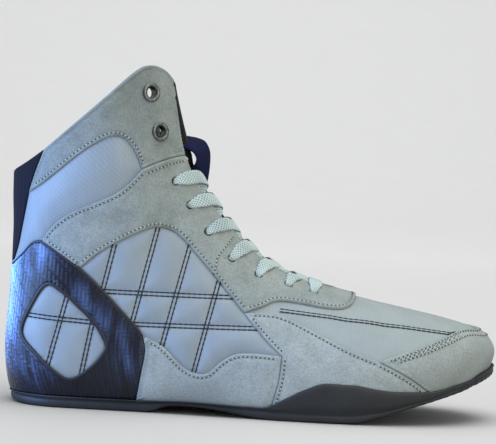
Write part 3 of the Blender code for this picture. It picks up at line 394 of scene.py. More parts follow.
seam["toe"] = np.stack([np.zeros(19), np.linspace(1, 0, 19)], axis=1)
tongueTop = pattern["tongueTop"]
seam["throatCrest"] = np.stack([np.linspace(throatStart, tongueTop, 70), np.zeros(70)], axis=1)
sideRows = np.linspace(7.8, tongueTop - 0.35, 21)
sideReach = 0.16 - 0.11 * soft((sideRows - 14.2) / 1.6)   # narrower where it stands free
seam["tongueSide"] = np.array([(6.35, 0.0), (6.5, 0.14), (7.0, 0.25)]
                              + list(zip(sideRows, throatV(sideRows) + sideReach))
                              + [(tongueTop - 0.1, float(throatV(tongueTop))),
                                 (tongueTop, 0.1), (tongueTop, 0.0)])
seam["tongueSide"] = evenRows(resample(seam["tongueSide"] * flatScale, 1.0) / flatScale, 2.4)
seam["tongueSide"][:, 1] = np.maximum(seam["tongueSide"][:, 1], 0)


def circle(place, radius, count):  # a true circle on the surface, as (s, v)
    pairs = np.repeat(np.asarray(place, float).reshape(1, 2), count, axis=0)
    ds, dv = tangents(pairs[:, 0], pairs[:, 1], -1)
    right = unit(ds)
    up = unit(dv - right * (dv * right).sum(1, keepdims=True))
    turn = 2 * math.pi * np.arange(count)[:, None] / count
    return stepped(pairs, radius * (right * np.cos(turn) + up * np.sin(turn)))


holeSpots = locate(pattern["laceHoles"])
ringSpots = {name: locate([place])[0] for name, place in pattern["rings"].items()}
holes = [circle(spot, pattern["laceHoleRadius"], 20) for spot in holeSpots]
holes += [circle(spot, pattern["ringHoleRadius"], 26) for spot in ringSpots.values()]


def loop(*parts):
    points = []
    for part in parts:
        line = seam[part.lstrip("-")]
        points.extend((line[::-1] if part.startswith("-") else line)[:-1])
    return np.array(points) * flatScale


panels = {
    "upper": loop("crest0", "crest1", "crest2", "throatLow", "throatHigh", "flap", "gussetTop",
                  "-back1", "-back0", "-base3", "-base2", "-base1", "-base0", "toe"),
    "toeCap": loop("crest0", "-capTop", "foreFront", "-base0", "toe"),
    "forefoot": loop("foreTop", "foreFront", "base1", "-guardFront", "-quiltFront"),
    "mudguard": loop("guardTop", "guardFront", "base2", "-counterFoot"),
    "counter": loop("counterTop", "counterStay", "counterFront", "counterFoot", "base3", "back0"),
    "eyestay": loop("stayBack", "stayTop", "-throatLow", "-crest2", "-stayLow", "-quiltTop",
                    "-counterStay"),
    "cuff": loop("cuff", "stayTop", "throatHigh", "flap", "gussetSide"),
    "gusset": loop("gussetSide", "gussetLow", "back1", "-gussetTop"),
    "tongue": seam["tongueSide"] * flatScale,
    "ankle": loop("gussetLow", "counterTop", "stayBack", "-cuff"),
    "quilt": loop("counterFront", "guardTop", "-quiltFront", "-quiltTop"),
    "window": seam["window"] * flatScale,
}

# Quilting rows and the seams sewn on top of a panel, also in the side view
quilting = {
    "rows": (((66.0, 103.0), (57.0, 61.0)), ((89.6, 110.0), (74.6, 42.0)),
             ((110.0, 106.0), (91.0, 24.0)), ((128.0, 88.0), (112.0, 18.0)),
             ((41.0, 76.0), (27.0, 18.0)), ((56.0, 64.0), (47.0, 12.0)),
             ((52.0, 69.2), (140.0, 68.6)), ((8.0, 53.4), (53.0, 51.0), (78.0, 51.0), (158.0, 52.0))),
    "apart": 2.1,       # between the two rows of one double seam
    "puff": 2.3, "fill": 5.0,
    "anklePuff": 2.7, "ankleFill": 7.5, "windowShare": 0.6,
    "under": 1.4, "lift": 0.22, "bottom": 0.03,   # run under the suede, and faces off the skin
}
quiltRows = [resample(row, 1.0) for row in quilting["rows"]]

# One triangulation of the half pattern carries every panel
lines = {name: line * flatScale for name, line in seam.items()}
lines["window"] = np.vstack([lines["window"], lines["window"][:1]])
for i, hole in enumerate(holes):
    lines[f"hole{i}"] = np.vstack([hole, hole[:1]]) * flatScale


def spotsOf(flatPoints):
    return surface(flatPoints[:, 0] / flatScale[0], np.clip(flatPoints[:, 1] / flatScale[1], 0, 1), -1)


def densely(points, spacing=0.4):
    out = []
    for a, b in zip(points, points[1:]):
        count = max(1, int(np.linalg.norm(b - a) / spacing))
        out.extend(a + (b - a) * t for t in np.linspace(0, 1, count, endpoint=False))
    return np.array(out + [points[-1]])


seamTree = treeOf(np.vstack([densely(spotsOf(line)) for line in lines.values()]))
extra = []
plainEdges = ("crest", "base", "back", "toe", "throatCrest")
for name, line in lines.items():
    if name.startswith(plainEdges):
        continue
    pairs = line / flatScale
    across = acrossLine(pairs)
    for away in pattern["beside"][:3 if name.startswith("hole") else None]:
        for way in (-1, 1):
            moved = stepped(pairs, way * away * across)
            keep = (moved[:, 1] > 0.001) & (moved[:, 1] < 0.999) & (moved[:, 0] > 0.01)
            moved = moved[keep & (moved[:, 0] < topRow)]
            if len(moved):
                clear = nearest(seamTree, onSide(moved)) > 0.86 * away
                extra.append(moved[clear])
vampSeam = {"row": ((161.0, 62.6), (200.0, 59.0), (236.0, 55.4), (266.0, 52.0)), "apart": 1.9,
            "ridge": 0.5, "wide": 0.9, "dip": 0.7, "dipAt": (1.6, 0.8)}
vampRow = resample(vampSeam["row"], 1.0)
for row in quiltRows + [vampRow]:
    pairs = locate(resample(row, pattern["rowStep"]))
    across = acrossLine(pairs)
    for away in pattern["besideRow"]:
        moved = stepped(pairs, away * across)
        moved = moved[(moved[:, 1] > 0.01) & (moved[:, 1] < 0.99)]
        extra.append(moved[nearest(seamTree, onSide(moved)) > 0.7])
heelRows = lines["base3"][:, 0] / flatScale[0]
heelRows = heelRows[heelRows > seatRow - 0.6]
for share in pattern["heelShares"]:
    extra.append(np.stack([heelRows, np.full(len(heelRows), share)], axis=1))
taken, kept = {}, []
for pair in np.vstack(extra):
    spot = surface(pair[0], pair[1], -1)
    cell = tuple(np.floor(spot / pattern["cell"]).astype(int))
    near = [taken[k] for k in ((cell[0] + i, cell[1] + j, cell[2] + k) for i in (-1, 0, 1)
                               for j in (-1, 0, 1) for k in (-1, 0, 1)) if k in taken]
    if all(np.linalg.norm(spot - other) > pattern["closest"] for other in near):
        taken[cell] = spot
        kept.append(pair)
kept = np.array(kept) * flatScale
step = pattern["fieldStep"]
field = np.array([(x + (0.5 * step if i % 2 else 0), y)
                  for i, y in enumerate(np.arange(0.5 * step, flatScale[1], step))
                  for x in np.arange(0.5 * step, topRow * flatScale[0], step)])
allSpots = treeOf(np.vstack([spotsOf(kept)] + [spotsOf(line) for line in lines.values()]))
field = field[nearest(allSpots, spotsOf(field)) > pattern["fieldClear"]]
flatPoints, edges = [tuple(p) for p in np.vstack([field, kept])], []
for line in lines.values():
    first = len(flatPoints)
    flatPoints.extend(tuple(p) for p in line)
    edges.extend((first + i, first + i + 1) for i in range(len(line) - 1))
cut = delaunay_2d_cdt([Vector(p) for p in flatPoints], edges, [], 0, 1e-3)
halfPoints = np.array([tuple(p) for p in cut[0]])
halfFaces = wound(halfPoints, np.array(cut[2]))
middles = halfPoints[halfFaces].mean(axis=1)
inHole = np.any([inside(middles, hole * flatScale) for hole in holes], axis=0)
chosen = {name: inside(middles, polygon) & ~inHole for name, polygon in panels.items()}
chosen["tongue"] = inside(middles, panels["tongue"])
print("pattern:", len(halfPoints), "points,", len(halfFaces), "triangles in one half")

rows = halfPoints[:, 0] / flatScale[0]
shares = np.clip(halfPoints[:, 1] / flatScale[1], 0, 1)
lateralSkin, medialSkin = surface(rows, shares, -1), surface(rows, shares, 1)
half = len(rows)
shared = (shares < 1e-6) | ((shares > 1 - 1e-6) & (rows > heelRow - 1e-4))
medialOf = np.where(shared, np.arange(half), half + np.arange(half))
skin = np.vstack([lateralSkin, medialSkin])
sideView = np.tile(lateralSkin[:, [0, 2]], (2, 1))


def bothSides(which):
    return np.vstack([halfFaces[which], medialOf[halfFaces[which][:, ::-1]]])


def normalsOf(points, triangles):
    corners = points[triangles]
    flatNormals = np.cross(corners[:, 1] - corners[:, 0], corners[:, 2] - corners[:, 0])
    total = np.zeros_like(points)
    for i in range(3):
        np.add.at(total, triangles[:, i], flatNormals)
    return unit(total)


wholeFaces = bothSides(np.ones(len(halfFaces), bool))
onBase = np.tile(((shares > 1 - 1e-6) & (rows < heelRow + 1e-4)) | (rows < 1e-6), 2)
# Round heel: below the ankle the plan is one even curve at every height
heelCup = {"at": 42.0, "knots": (6.0, 24.0, 48.0, 80.0), "ahead": (56.0, 26.0), "above": (80.0, 30.0),
           "from": (7.0, 6.0), "to": (58.0, 64.0), "reach": 17.0, "rounds": 60, "pull": 0.6}
links = np.vstack([wholeFaces[:, [0, 1]], wholeFaces[:, [1, 2]], wholeFaces[:, [2, 0]]])
links = np.unique(np.sort(links, axis=1), axis=0)
number = np.bincount(links.ravel(), minlength=len(skin))


def towardsNeighbours():
    mean = np.stack([np.bincount(links[:, 0], skin[links[:, 1], i], len(skin))
                     + np.bincount(links[:, 1], skin[links[:, 0], i], len(skin)) for i in range(3)], axis=1)
    return mean / number[:, None] - skin


# Points even out where two sets of sections meet, but not at the back corner itself
heelMeet = {"rows": 0.2, "shares": (0.75, 0.945), "aside": 14.0, "above": 11.0, "rounds": 8, "pull": 0.5}
lowShare, highShare = heelMeet["shares"]
meeting = np.tile((np.abs(rows - heelRow) < heelMeet["rows"]) & (shares > lowShare) & (shares < highShare), 2)
meeting &= (np.abs(skin[:, 1]) > heelMeet["aside"]) & (skin[:, 2] > heelMeet["above"])
for turn in range(heelMeet["rounds"]):
    skin[meeting] += heelMeet["pull"] * towardsNeighbours()[meeting]
backRows = np.linspace(heelRow, heelRow + 4, 400)
backX = np.interp(skin[:, 2], last["baseZ"](backRows), last["baseX"](backRows))
share = np.clip((heelCup["at"] - skin[:, 0]) / (heelCup["at"] - backX), 0, 1)
blend = soft((heelCup["ahead"][0] - skin[:, 0]) / heelCup["ahead"][1])
blend = np.where(onBase, 0.0, blend * soft((heelCup["above"][0] - skin[:, 2]) / heelCup["above"][1]))
places = locate([(heelCup["at"], z) for z in heelCup["knots"]])
places[0] = seatRow, 1.0
for side, part in ((-1, slice(0, half)), (1, slice(half, 2 * half))):
    wide = curve(heelCup["knots"], onSide(places, side)[:, 1])(skin[part, 2])
    even = wide * (1 - share[part] ** heelRound) ** (1 / heelRound)
    skin[part, 1] += blend[part] * (even - skin[part, 1])
share, away = fromSegment(sideView, heelCup["from"], heelCup["to"])
weight = np.where(onBase, 0.0, np.exp(-(away / heelCup["reach"]) ** 2) * (1 - blend))
normal = normalsOf(skin, wholeFaces)
for turn in range(heelCup["rounds"]):  # the line between the two sets is softened, along the normals alone
    skin = skin + normal * ((towardsNeighbours() * normal).sum(axis=1) * weight * heelCup["pull"])[:, None]
# The far cuff has slumped a little
farFlap = {"from": 165.0, "over": 14.0, "aside": 13.0, "asideOver": 8.0, "move": (-2.8, 0.0, 0.3)}


def slumped(points, side):
    share = soft((points[..., 2] - farFlap["from"]) / farFlap["over"])
    share = share * soft((points[..., 1] - farFlap["aside"]) / farFlap["asideOver"])
    return points + (share * (side > 0))[..., None] * np.array(farFlap["move"])


skin[half:] = slumped(skin[half:], 1)
shifted = skin - np.vstack([lateralSkin, medialSkin])
flatTree = treeOf(halfPoints)
normal = normalsOf(skin, wholeFaces)
normal[onBase, 2] = 0
normal = unit(normal)

# Distance down the section from the crest, for the weaves
steps = np.linspace(0, 1, 25)
paths = surface(rows[:, None], shares[:, None] * steps[None], -1)
girth = np.linalg.norm(np.diff(paths, axis=1), axis=2).sum(axis=1)
wrap = np.tile(np.stack([lateralSkin[:, 0], girth], axis=1), (2, 1))


# Colours and materials
def linear(code):
    value = np.array([int(code[i:i + 2], 16) for i in (1, 3, 5)]) / 255
    value = np.where(value <= 0.04045, value / 12.92, ((value + 0.055) / 1.055) ** 2.4)
    return (*value, 1.0)


def feed(made, inputs):  # links sockets, sets plain values
    for key, value in inputs.items():
        if isinstance(value, bpy.types.NodeSocket):
            made.id_data.links.new(value, made.inputs[key])
        else:
            made.inputs[key].default_value = value
    return made


def node(tree, kind, inputs=None, stops=(), **settings):
    made = tree.nodes.new("ShaderNode" + kind)
    for key, value in settings.items():
        setattr(made, key, value)
    for i, (at, code) in enumerate(stops):
        made.color_ramp.elements[i].position, made.color_ramp.elements[i].color = at, linear(code)
    return feed(made, inputs or {})


def material(name, **sockets):
    made = bpy.data.materials.new(name)
    made.use_nodes = True
    return made, made.node_tree, feed(made.node_tree.nodes["Principled BSDF"], sockets)


def perMm(size):  # texture scale for a feature of that many mm
    return 1 / (size * mm)


# Split suede, napped: dull, cloudy where the nap is brushed, speckled by its fibres, darkened where marked: soil
# on the toe, painted shade under the arch, along the sole and in the cuff's crease
def splitSuede(name, dark, light):
    made, tree, shader = material(name, **{"Roughness": 0.92, "Specular IOR Level": 0.2, "Sheen Weight": 0.08,
                                           "Sheen Roughness": 0.5, "Sheen Tint": linear("#DFE4E2")})
    place = node(tree, "TexCoord").outputs["Object"]
    cloud = node(tree, "TexNoise", {"Vector": place, "Scale": perMm(12), "Detail": 5.0, "Roughness": 0.65})
    fibre = node(tree, "TexNoise", {"Vector": place, "Scale": perMm(1.0), "Detail": 3.0, "Roughness": 0.75})
    base = node(tree, "ValToRGB", {"Fac": cloud.outputs["Fac"]}, ((0.32, dark), (0.7, light)))
    speck = node(tree, "ValToRGB", {"Fac": fibre.outputs["Fac"]}, ((0.32, "#D6D6D6"), (0.62, "#FFFFFF")))
    mixed = node(tree, "Mix", {0: 1.0, 6: base.outputs["Color"], 7: speck.outputs["Color"]},
                 data_type="RGBA", blend_type="MULTIPLY")
    # painted shade and soil: the marked places, broken up by the cloud, go towards a dark grey green
    shadeAndSoilShare = node(tree, "Math", {0: node(tree, "Attribute", attribute_name="soil").outputs["Fac"],
                               1: cloud.outputs["Fac"]}, operation="MULTIPLY")
    shadedAndSoiled = node(tree, "Mix", {0: shadeAndSoilShare.outputs[0], 6: mixed.outputs[2], 7: linear("#4C524C")}, data_type="RGBA")
    nap = node(tree, "Bump", {"Height": fibre.outputs["Fac"], "Strength": 0.4, "Distance": 0.3 * mm})
    feed(shader, {"Base Color": shadedAndSoiled.outputs[2], "Normal": nap.outputs["Normal"]})
    return made


# One suede in three copies: the cuff's and the eyestay's are darker, painted shade where the upright shaft
# catches less light
suede = splitSuede("splitSuedeNapped", "#868F8E", "#98A1A0")
shadedCuffSuede = splitSuede("splitSuedeNappedCuff", "#6F7875", "#858E8A")
shadedStaySuede = splitSuede("splitSuedeNappedStay", "#78817E", "#8B9490")


# Cloth, woven, knitted or braided: thread lines 0.8 to 2.2 mm apart, some coarser than life so that they show
def cloth(name, under, over, warp, weft, relief, turn=0, **sockets):
    made, tree, shader = material(name, **sockets)
    place = node(tree, "UVMap", uv_map="wrap").outputs["UV"]
    if turn:
        turned = node(tree, "Mapping", {"Vector": place, "Rotation": (0, 0, math.radians(turn))})
        place = turned.outputs["Vector"]
    across, along = (node(tree, "TexWave", {"Vector": place, "Scale": 2 * math.pi / 20 / size},
                          wave_type="BANDS", bands_direction=axis).outputs["Fac"]
                     for size, axis in ((warp, "X"), (weft, "Y")))
    weave = node(tree, "Math", {0: across, 1: along}, operation="MULTIPLY").outputs[0]
    cloud = node(tree, "TexNoise", {"Vector": place, "Scale": 1 / 18, "Detail": 3.0})
    tone = node(tree, "Math", {0: weave, 1: 0.45, 2: 0.1}, operation="MULTIPLY_ADD")
    tone = node(tree, "Math", {0: cloud.outputs["Fac"], 1: 0.5, 2: tone.outputs[0]}, operation="MULTIPLY_ADD")
    ramp = node(tree, "ValToRGB", {"Fac": tone.outputs[0]}, ((0.2, under), (0.75, over)))
    bump = node(tree, "Bump", {"Height": weave, "Strength": relief, "Distance": 0.2 * mm})
    feed(shader, {"Base Color": ramp.outputs["Color"], "Normal": bump.outputs["Normal"]})
    return made


# Nylon satin, woven: smooth with a soft gloss
satin = cloth("nylonSatinWoven", "#6B767B", "#838F95", 1.0, 0.8, 0.25,
              **{"Roughness": 0.5, "Specular IOR Level": 0.4, "Sheen Weight": 0.05})
# Nylon, plain weave: duller, with a fine grid
vampNylon = cloth("nylonPlainWeave", "#788282", "#8C9696", 1.1, 1.1, 0.4,
                  **{"Roughness": 0.72, "Specular IOR Level": 0.3})
# Polyester, knitted or brushed: dark and without gloss
lining = cloth("polyesterKnitLining", "#12141D", "#20242F", 1.4, 1.4, 0.5,
               **{"Roughness": 0.85, "Specular IOR Level": 0.2})
tongueCloth = cloth("brushedPolyester", "#0A0B0D", "#15171A", 1.2, 1.2, 0.5,
                    **{"Roughness": 0.9, "Specular IOR Level": 0.1, "Sheen Weight": 0.03})
insoleKnit = cloth("polyesterKnitOnFoam", "#1B1D22", "#30333A", 1.5, 1.5, 0.5,
                   **{"Roughness": 0.9, "Specular IOR Level": 0.2})
# Elastic and webbing, ribbed: near black and navy with raised cords
elastic = cloth("knittedElasticRibbed", "#0B0C12", "#181B25", 2.2, 1.2, 0.8,
                **{"Roughness": 0.8, "Specular IOR Level": 0.12})
webbing = cloth("nylonWebbingWoven", "#080C22", "#141B40", 1.6, 1.0, 0.8,
                **{"Roughness": 0.8, "Specular IOR Level": 0.08})
# Polyester, braided flat: pale strands with darker crossings, about 1 mm apart in life and drawn 1.7 mm
laceBraid = cloth("polyesterLaceBraided", "#B2C2C0", "#4E6264", 1.7, 1.7, 0.5, turn=45,
                  **{"Roughness": 0.7, "Specular IOR Level": 0.3, "Sheen Weight": 0.2})

# Pressed twill vinyl: near black, woven tows 2.4 mm wide under a clear gloss, with a painted blue sheen in
# upright streaks, a painted reflection laid into the colour
twillFacts = {"tow": 2.4, "dark": "#06070A", "light": "#131622", "sheen": "#56709F", "relief": 0.6,
              "streak": (4.5, 26.0), "cloud": 17.0}
twill, tree, shader = material("pressedTwillVinyl", **{
    "Roughness": 0.4, "Specular IOR Level": 0.18, "Coat Weight": 0.2, "Coat Roughness": 0.22})
place = node(tree, "UVMap", uv_map="wrap").outputs["UV"]
tows = node(tree, "VectorMath", {0: place, "Scale": 1 / twillFacts["tow"]}, operation="SCALE").outputs[0]
whole, part = (node(tree, "SeparateXYZ", {0: node(tree, "VectorMath", {0: tows}, operation=way).outputs[0]})
               for way in ("FLOOR", "FRACTION"))
count = node(tree, "Math", {0: whole.outputs["X"], 1: whole.outputs["Y"]}, operation="ADD")
count = node(tree, "Math", {0: count.outputs[0], 1: 4.0}, operation="FLOORED_MODULO")
warpUp = node(tree, "Math", {0: count.outputs[0], 1: 2.5}, operation="LESS_THAN")
humps = []
for axis in ("X", "Y"):
    turned = node(tree, "Math", {0: part.outputs[axis], 1: math.pi}, operation="MULTIPLY")
    humps.append(node(tree, "Math", {0: turned.outputs[0]}, operation="SINE").outputs[0])
height = node(tree, "Mix", {0: warpUp.outputs[0], 2: humps[1], 3: humps[0]}, data_type="FLOAT")
drawn = node(tree, "Mapping", {"Vector": place, "Scale": (*(1 / size for size in twillFacts["streak"]), 1)})
streak = node(tree, "TexNoise", {"Vector": drawn.outputs[0], "Scale": 1.0, "Detail": 2.0})
cloud = node(tree, "TexNoise", {"Vector": place, "Scale": 1 / twillFacts["cloud"], "Detail": 3.0,
                                "Roughness": 0.55})
# painted reflection: share of the blue sheen colour, from the cloud, the streaks, the tows and the marked places
paintedSheenShare = node(tree, "MapRange", {"Value": cloud.outputs["Fac"], "From Min": 0.3, "From Max": 0.6, "To Min": 0.35})
for value, low, high in ((streak.outputs["Fac"], 0.36, 0.62), (height.outputs[0], -0.4, 1.0)):
    share = node(tree, "MapRange", {"Value": value, "From Min": low, "From Max": high, "To Min": 0.1})
    paintedSheenShare = node(tree, "Math", {0: paintedSheenShare.outputs[0], 1: share.outputs[0]}, operation="MULTIPLY")
blue = node(tree, "Attribute", attribute_name="sheen").outputs["Fac"]
paintedSheenShare = node(tree, "Math", {0: paintedSheenShare.outputs[0], 1: blue}, operation="MULTIPLY")
shade = node(tree, "Math", {0: height.outputs[0], 1: streak.outputs["Fac"]}, operation="MULTIPLY")
ramp = node(tree, "ValToRGB", {"Fac": shade.outputs[0]}, ((0.1, twillFacts["dark"]), (0.6, twillFacts["light"])))
mixed = node(tree, "Mix", {0: paintedSheenShare.outputs[0], 6: ramp.outputs["Color"], 7: linear(twillFacts["sheen"])},
             data_type="RGBA")
dull = node(tree, "MapRange", {"Value": cloud.outputs["Fac"], "From Min": 0.35, "From Max": 0.65,
                               "To Min": 0.5, "To Max": 0.3})
bump = node(tree, "Bump", {"Height": height.outputs[0], "Strength": twillFacts["relief"], "Distance": 0.3 * mm})
feed(shader, {"Base Color": mixed.outputs[2], "Roughness": dull.outputs[0], "Normal": bump.outputs["Normal"]})


# Tone by noise, with a fine bump where asked
def flecked(name, size, stops, detail=3.0, rough=0.5, relief=0.0, grain=None, **sockets):
    made, tree, shader = material(name, **sockets)
    place = node(tree, "TexCoord").outputs["Object"]
    fleck = node(tree, "TexNoise", {"Vector": place, "Scale": perMm(size), "Detail": detail, "Roughness": rough})
    feed(shader, {"Base Color": node(tree, "ValToRGB", {"Fac": fleck.outputs["Fac"]}, stops).outputs["Color"]})
    if relief:
        fine = fleck
        if grain:
            fine = node(tree, "TexNoise", {"Vector": place, "Scale": perMm(grain), "Detail": 3.0})
        bump = node(tree, "Bump", {"Height": fine.outputs["Fac"], "Strength": relief, "Distance": 0.2 * mm})
        feed(shader, {"Normal": bump.outputs["Normal"]})
    return made


# Polyurethane binding, rolled: near black with a dull gloss
binding = flecked("polyurethaneBinding", 1.2, ((0, "#0A0B11"), (1, "#181B24")), relief=0.3,
                  **{"Roughness": 0.5, "Specular IOR Level": 0.4})
# Carbon-black rubber, moulded: nearly black, matt, with a faint moulded grain and dust
rubber = flecked("carbonRubberMoulded", 22, ((0.35, "#0C1014"), (0.75, "#191E22")), 5.0, 0.65, 0.25, 0.9,
                 **{"Roughness": 0.58, "Specular IOR Level": 0.42})
# Zinc alloy, pewter plated and pressed: grey metal, a little worn
pewter = flecked("zincPewterPlated", 1.6, ((0.3, "#434845"), (0.7, "#747A76")), 4.0,
                 **{"Metallic": 1.0, "Roughness": 0.42})
# Bonded nylon thread, twisted: matt with a fine twist; the charcoal one is not thread but painted shade in the
# needle holes
greyThread, holeShadeThread, blackThread = (
    flecked("nylonThread" + word, 0.8, ((0, dark), (1, light)), 2.0,
            **{"Roughness": 0.7, "Specular IOR Level": 0.3})
    for word, dark, light in (("Grey", "#89928F", "#A9B2AE"), ("Charcoal", "#3C4242", "#525957"),
                              ("Black", "#14171C", "#24282E")))
print("materials:", len(bpy.data.materials))

# Tone by place: darker suede, soil on the toe and painted shade under the arch, along the sole and in the cuff's
# crease; and the counter's blue sheen, a painted reflection; as (from, to, depth of tone, reach in mm)
shadeAndSoilMarks = (((262.0, 24.0), (286.0, 34.0), 0.8, 17.0), ((250.0, 42.0), (288.0, 44.0), 0.3, 16.0),
         ((240.0, 26.0), (262.0, 24.0), 0.3, 12.0), ((102.0, 10.0), (124.0, 14.0), 0.7, 11.0),
         ((86.0, 8.0), (158.0, 8.0), 0.25, 6.0), ((68.0, 192.0), (74.0, 168.0), 0.4, 10.0))
# painted blue reflection on the counter: strongest at the back edge and the top corner
paintedSheenMarks = (((4.0, 66.0), (4.0, 30.0), 1.0, 8.0), ((9.0, 83.0), (19.0, 90.0), 1.5, 8.5),
          ((27.0, 85.0), (32.0, 81.0), 0.12, 6.0), ((45.0, 67.0), (60.0, 52.0), 0.55, 6.0),
          ((70.0, 44.0), (76.0, 28.0), 0.36, 8.0), ((8.0, 28.0), (26.0, 20.0), 0.5, 8.0))


def marked(points, marks):
    total = np.zeros(len(points))
    for start, end, depth, reach in marks:
        share, away = fromSegment(points[:, [0, 2]], start, end)
        total = np.maximum(total, depth * np.exp(-(away / reach) ** 2))
    return total


def addPiece(name, points, faces, mats, slot=None, nodes=(), faceMats=None, uv=None):
    mesh = bpy.data.meshes.new(name)
    points = (np.asarray(points, float) + shift) * mm
    mesh.from_pydata([tuple(p) for p in points], [], [tuple(int(i) for i in f) for f in faces])
    for mat in mats:
        mesh.materials.append(mat)
    if faceMats is not None:
        mesh.polygons.foreach_set("material_index", np.asarray(faceMats, np.int32))
    if uv is not None:
        corner = np.empty(len(mesh.loops), np.int32)
        mesh.loops.foreach_get("vertex_index", corner)
        mesh.uv_layers.new(name="wrap").data.foreach_set("uv", np.asarray(uv, np.float32)[corner].ravel())
    # kept on the points: painted shade and soil on the suede, the painted blue sheen on the counter
    for word, wanted, marks in (("soil", "suede", shadeAndSoilMarks), ("sheen", "counter_weave", paintedSheenMarks)):
        if slot == wanted and uv is not None:
            values = marked(points / mm - shift, marks).astype(np.float32)
            mesh.attributes.new(word, "FLOAT", "POINT").data.foreach_set("value", values)
    mesh.polygons.foreach_set("use_smooth", np.ones(len(mesh.polygons), bool))
    mesh.update()
    piece = bpy.data.objects.new(name, mesh)
    scene.collection.objects.link(piece)
    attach(piece, "root")
    if nodes:
        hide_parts(*nodes)
    return piece


def rimOf(triangles):  # edges used once, in their triangle's direction
    ends = np.vstack([triangles[:, [0, 1]], triangles[:, [1, 2]], triangles[:, [2, 0]]])
    size = int(triangles.max()) + 1
    return ends[~np.isin(ends[:, 0] * size + ends[:, 1], ends[:, 1] * size + ends[:, 0])]


tops = []  # outer faces of everything laid on the last, for the stitches to lie on


def layer(name, triangles, low, high, mats, slot, nodes, topMats=None, uv=wrap):
    used, compact = np.unique(triangles, return_inverse=True)
    tri = compact.reshape(-1, 3)
    count = len(used)
    top = skin[used] + normal[used] * high[used][:, None]
    bottom = skin[used] + normal[used] * low[used][:, None]
    rim = rimOf(tri)
    faces = [*tri, *(tri[:, ::-1] + count), *[(b, a, a + count, b + count) for a, b in rim]]
    faceMats = None
    if topMats is not None:
        faceMats = np.concatenate([topMats, np.full(len(tri), len(mats) - 1), np.full(len(rim), len(mats) - 1)])
    tops.append((top, tri))
    return addPiece(name, np.vstack([top, bottom]), faces, mats, slot, nodes, faceMats,
                    np.vstack([uv[used], uv[used]]))


def borderTree(names):
    return treeOf(np.vstack([densely(spotsOf(lines[name])) for name in names]))


def fromBorder(names):  # distance of every point to those seams, same on both sides
    return np.tile(nearest(borderTree(names), lateralSkin), 2)


# Main creases: (from, to, depth in mm, width in mm)
creases = (
    ((70.0, 198.0), (74.0, 166.0), -1.3, 8.0), ((50.0, 170.0), (58.0, 180.0), 0.8, 7.0),
    ((30.0, 143.0), (52.0, 163.0), -0.8, 4.0), ((84.0, 150.0), (98.0, 158.0), -0.7, 4.0),
    ((84.0, 118.0), (104.0, 110.0), -0.9, 5.0), ((88.0, 126.0), (108.0, 117.0), 0.7, 5.0),
    ((52.0, 104.0), (74.0, 113.0), -0.8, 4.5), ((30.0, 100.0), (48.0, 100.0), -0.6, 4.0),
    ((196.0, 68.0), (206.0, 46.0), -0.5, 6.0), ((222.0, 62.0), (226.0, 44.0), -0.5, 6.0),
    ((176.0, 52.0), (196.0, 30.0), -0.5, 6.0), ((100.0, 22.0), (112.0, 14.0), -0.6, 4.0),
)


def creased(points):
    total = np.zeros(len(points))
    for start, end, depth, width in creases:
        share, away = fromSegment(points, start, end)
        total += depth * np.exp(-(away / width) ** 2) * np.sin(math.pi * np.clip(share, 0.08, 0.92))
    return total


lie = creased(sideView)

# Upper: one hollow skin, rounded where it ends free, dark lining inside
upperSkin = {"wall": 2.0, "roll": 1.0, "sunk": 1.0, "rim": 0.9}
freeEdge = fromBorder(["flap", "gussetTop", "throatLow", "throatHigh"])
rolled = np.sqrt(1 - (1 - np.clip(freeEdge / upperSkin["roll"], 0, 1)) ** 2)
seamGap = np.tile(nearest(treeOf(densely(surface(*locate(vampRow).T, -1))), lateralSkin), 2)
ridge = hump(seamGap, 0.0, vampSeam["wide"]) - vampSeam["dip"] * hump(seamGap, *vampSeam["dipAt"])
upperHigh = lie - upperSkin["sunk"] + rolled * upperSkin["sunk"] + vampSeam["ridge"] * ridge
upperLow = lie - upperSkin["wall"] + (1 - rolled) * upperSkin["rim"]
which = chosen["upper"]
underPanel = 1 - (chosen["ankle"] | chosen["quilt"] | chosen["window"]).astype(int) + chosen["cuff"]
layer("upperSkin", bothSides(which), upperLow, upperHigh, [satin, vampNylon, shadedCuffSuede, lining], "satin_fabric",
      ["upper"], np.tile(underPanel[which], 2))

# Padded panels: the ankle and the quilted side, filled with foam and sewn under the suede
rowSpots = [surface(*locate(row).T, -1) for row in quiltRows]
rowGap = np.tile(nearest(treeOf(np.vstack([densely(spots) for spots in rowSpots])), lateralSkin), 2)
rowGap = np.abs(rowGap - 0.5 * quilting["apart"])
borders = {"ankle": ["gussetLow", "counterTop", "stayBack", "cuff"],
           "quilt": ["counterFront", "guardTop", "quiltFront", "quiltTop"], "window": ["window"]}
for name, seams in borders.items():
    edge = fromBorder(seams)
    inPanel = np.zeros(half, bool)
    inPanel[halfFaces[chosen[name]].ravel()] = True
    depth = np.where(np.tile(inPanel, 2), edge, 0.0)
    if name == "ankle":
        puff = quilting["anklePuff"] * (1 - np.exp(-depth / quilting["ankleFill"]))
    else:
        room = np.minimum(depth, rowGap)
        puff = quilting["puff"] * (1 - np.exp(-room / quilting["fill"]))
        puff *= quilting["windowShare"] if name == "window" else 1.0
    close = nearest(borderTree(seams), lateralSkin[halfFaces].mean(axis=1)) < quilting["under"]
    reach = chosen["upper"] & (chosen[name] | close)
    padHigh = lie + quilting["lift"] + puff
    for word, part in zip(("Lateral", "Medial"), np.split(bothSides(reach), 2)):
        pad = layer(name + "Pad" + word, part, lie + quilting["bottom"], padHigh, [satin], "satin_fabric",
                    ["upper"])
print("upper and pads done")

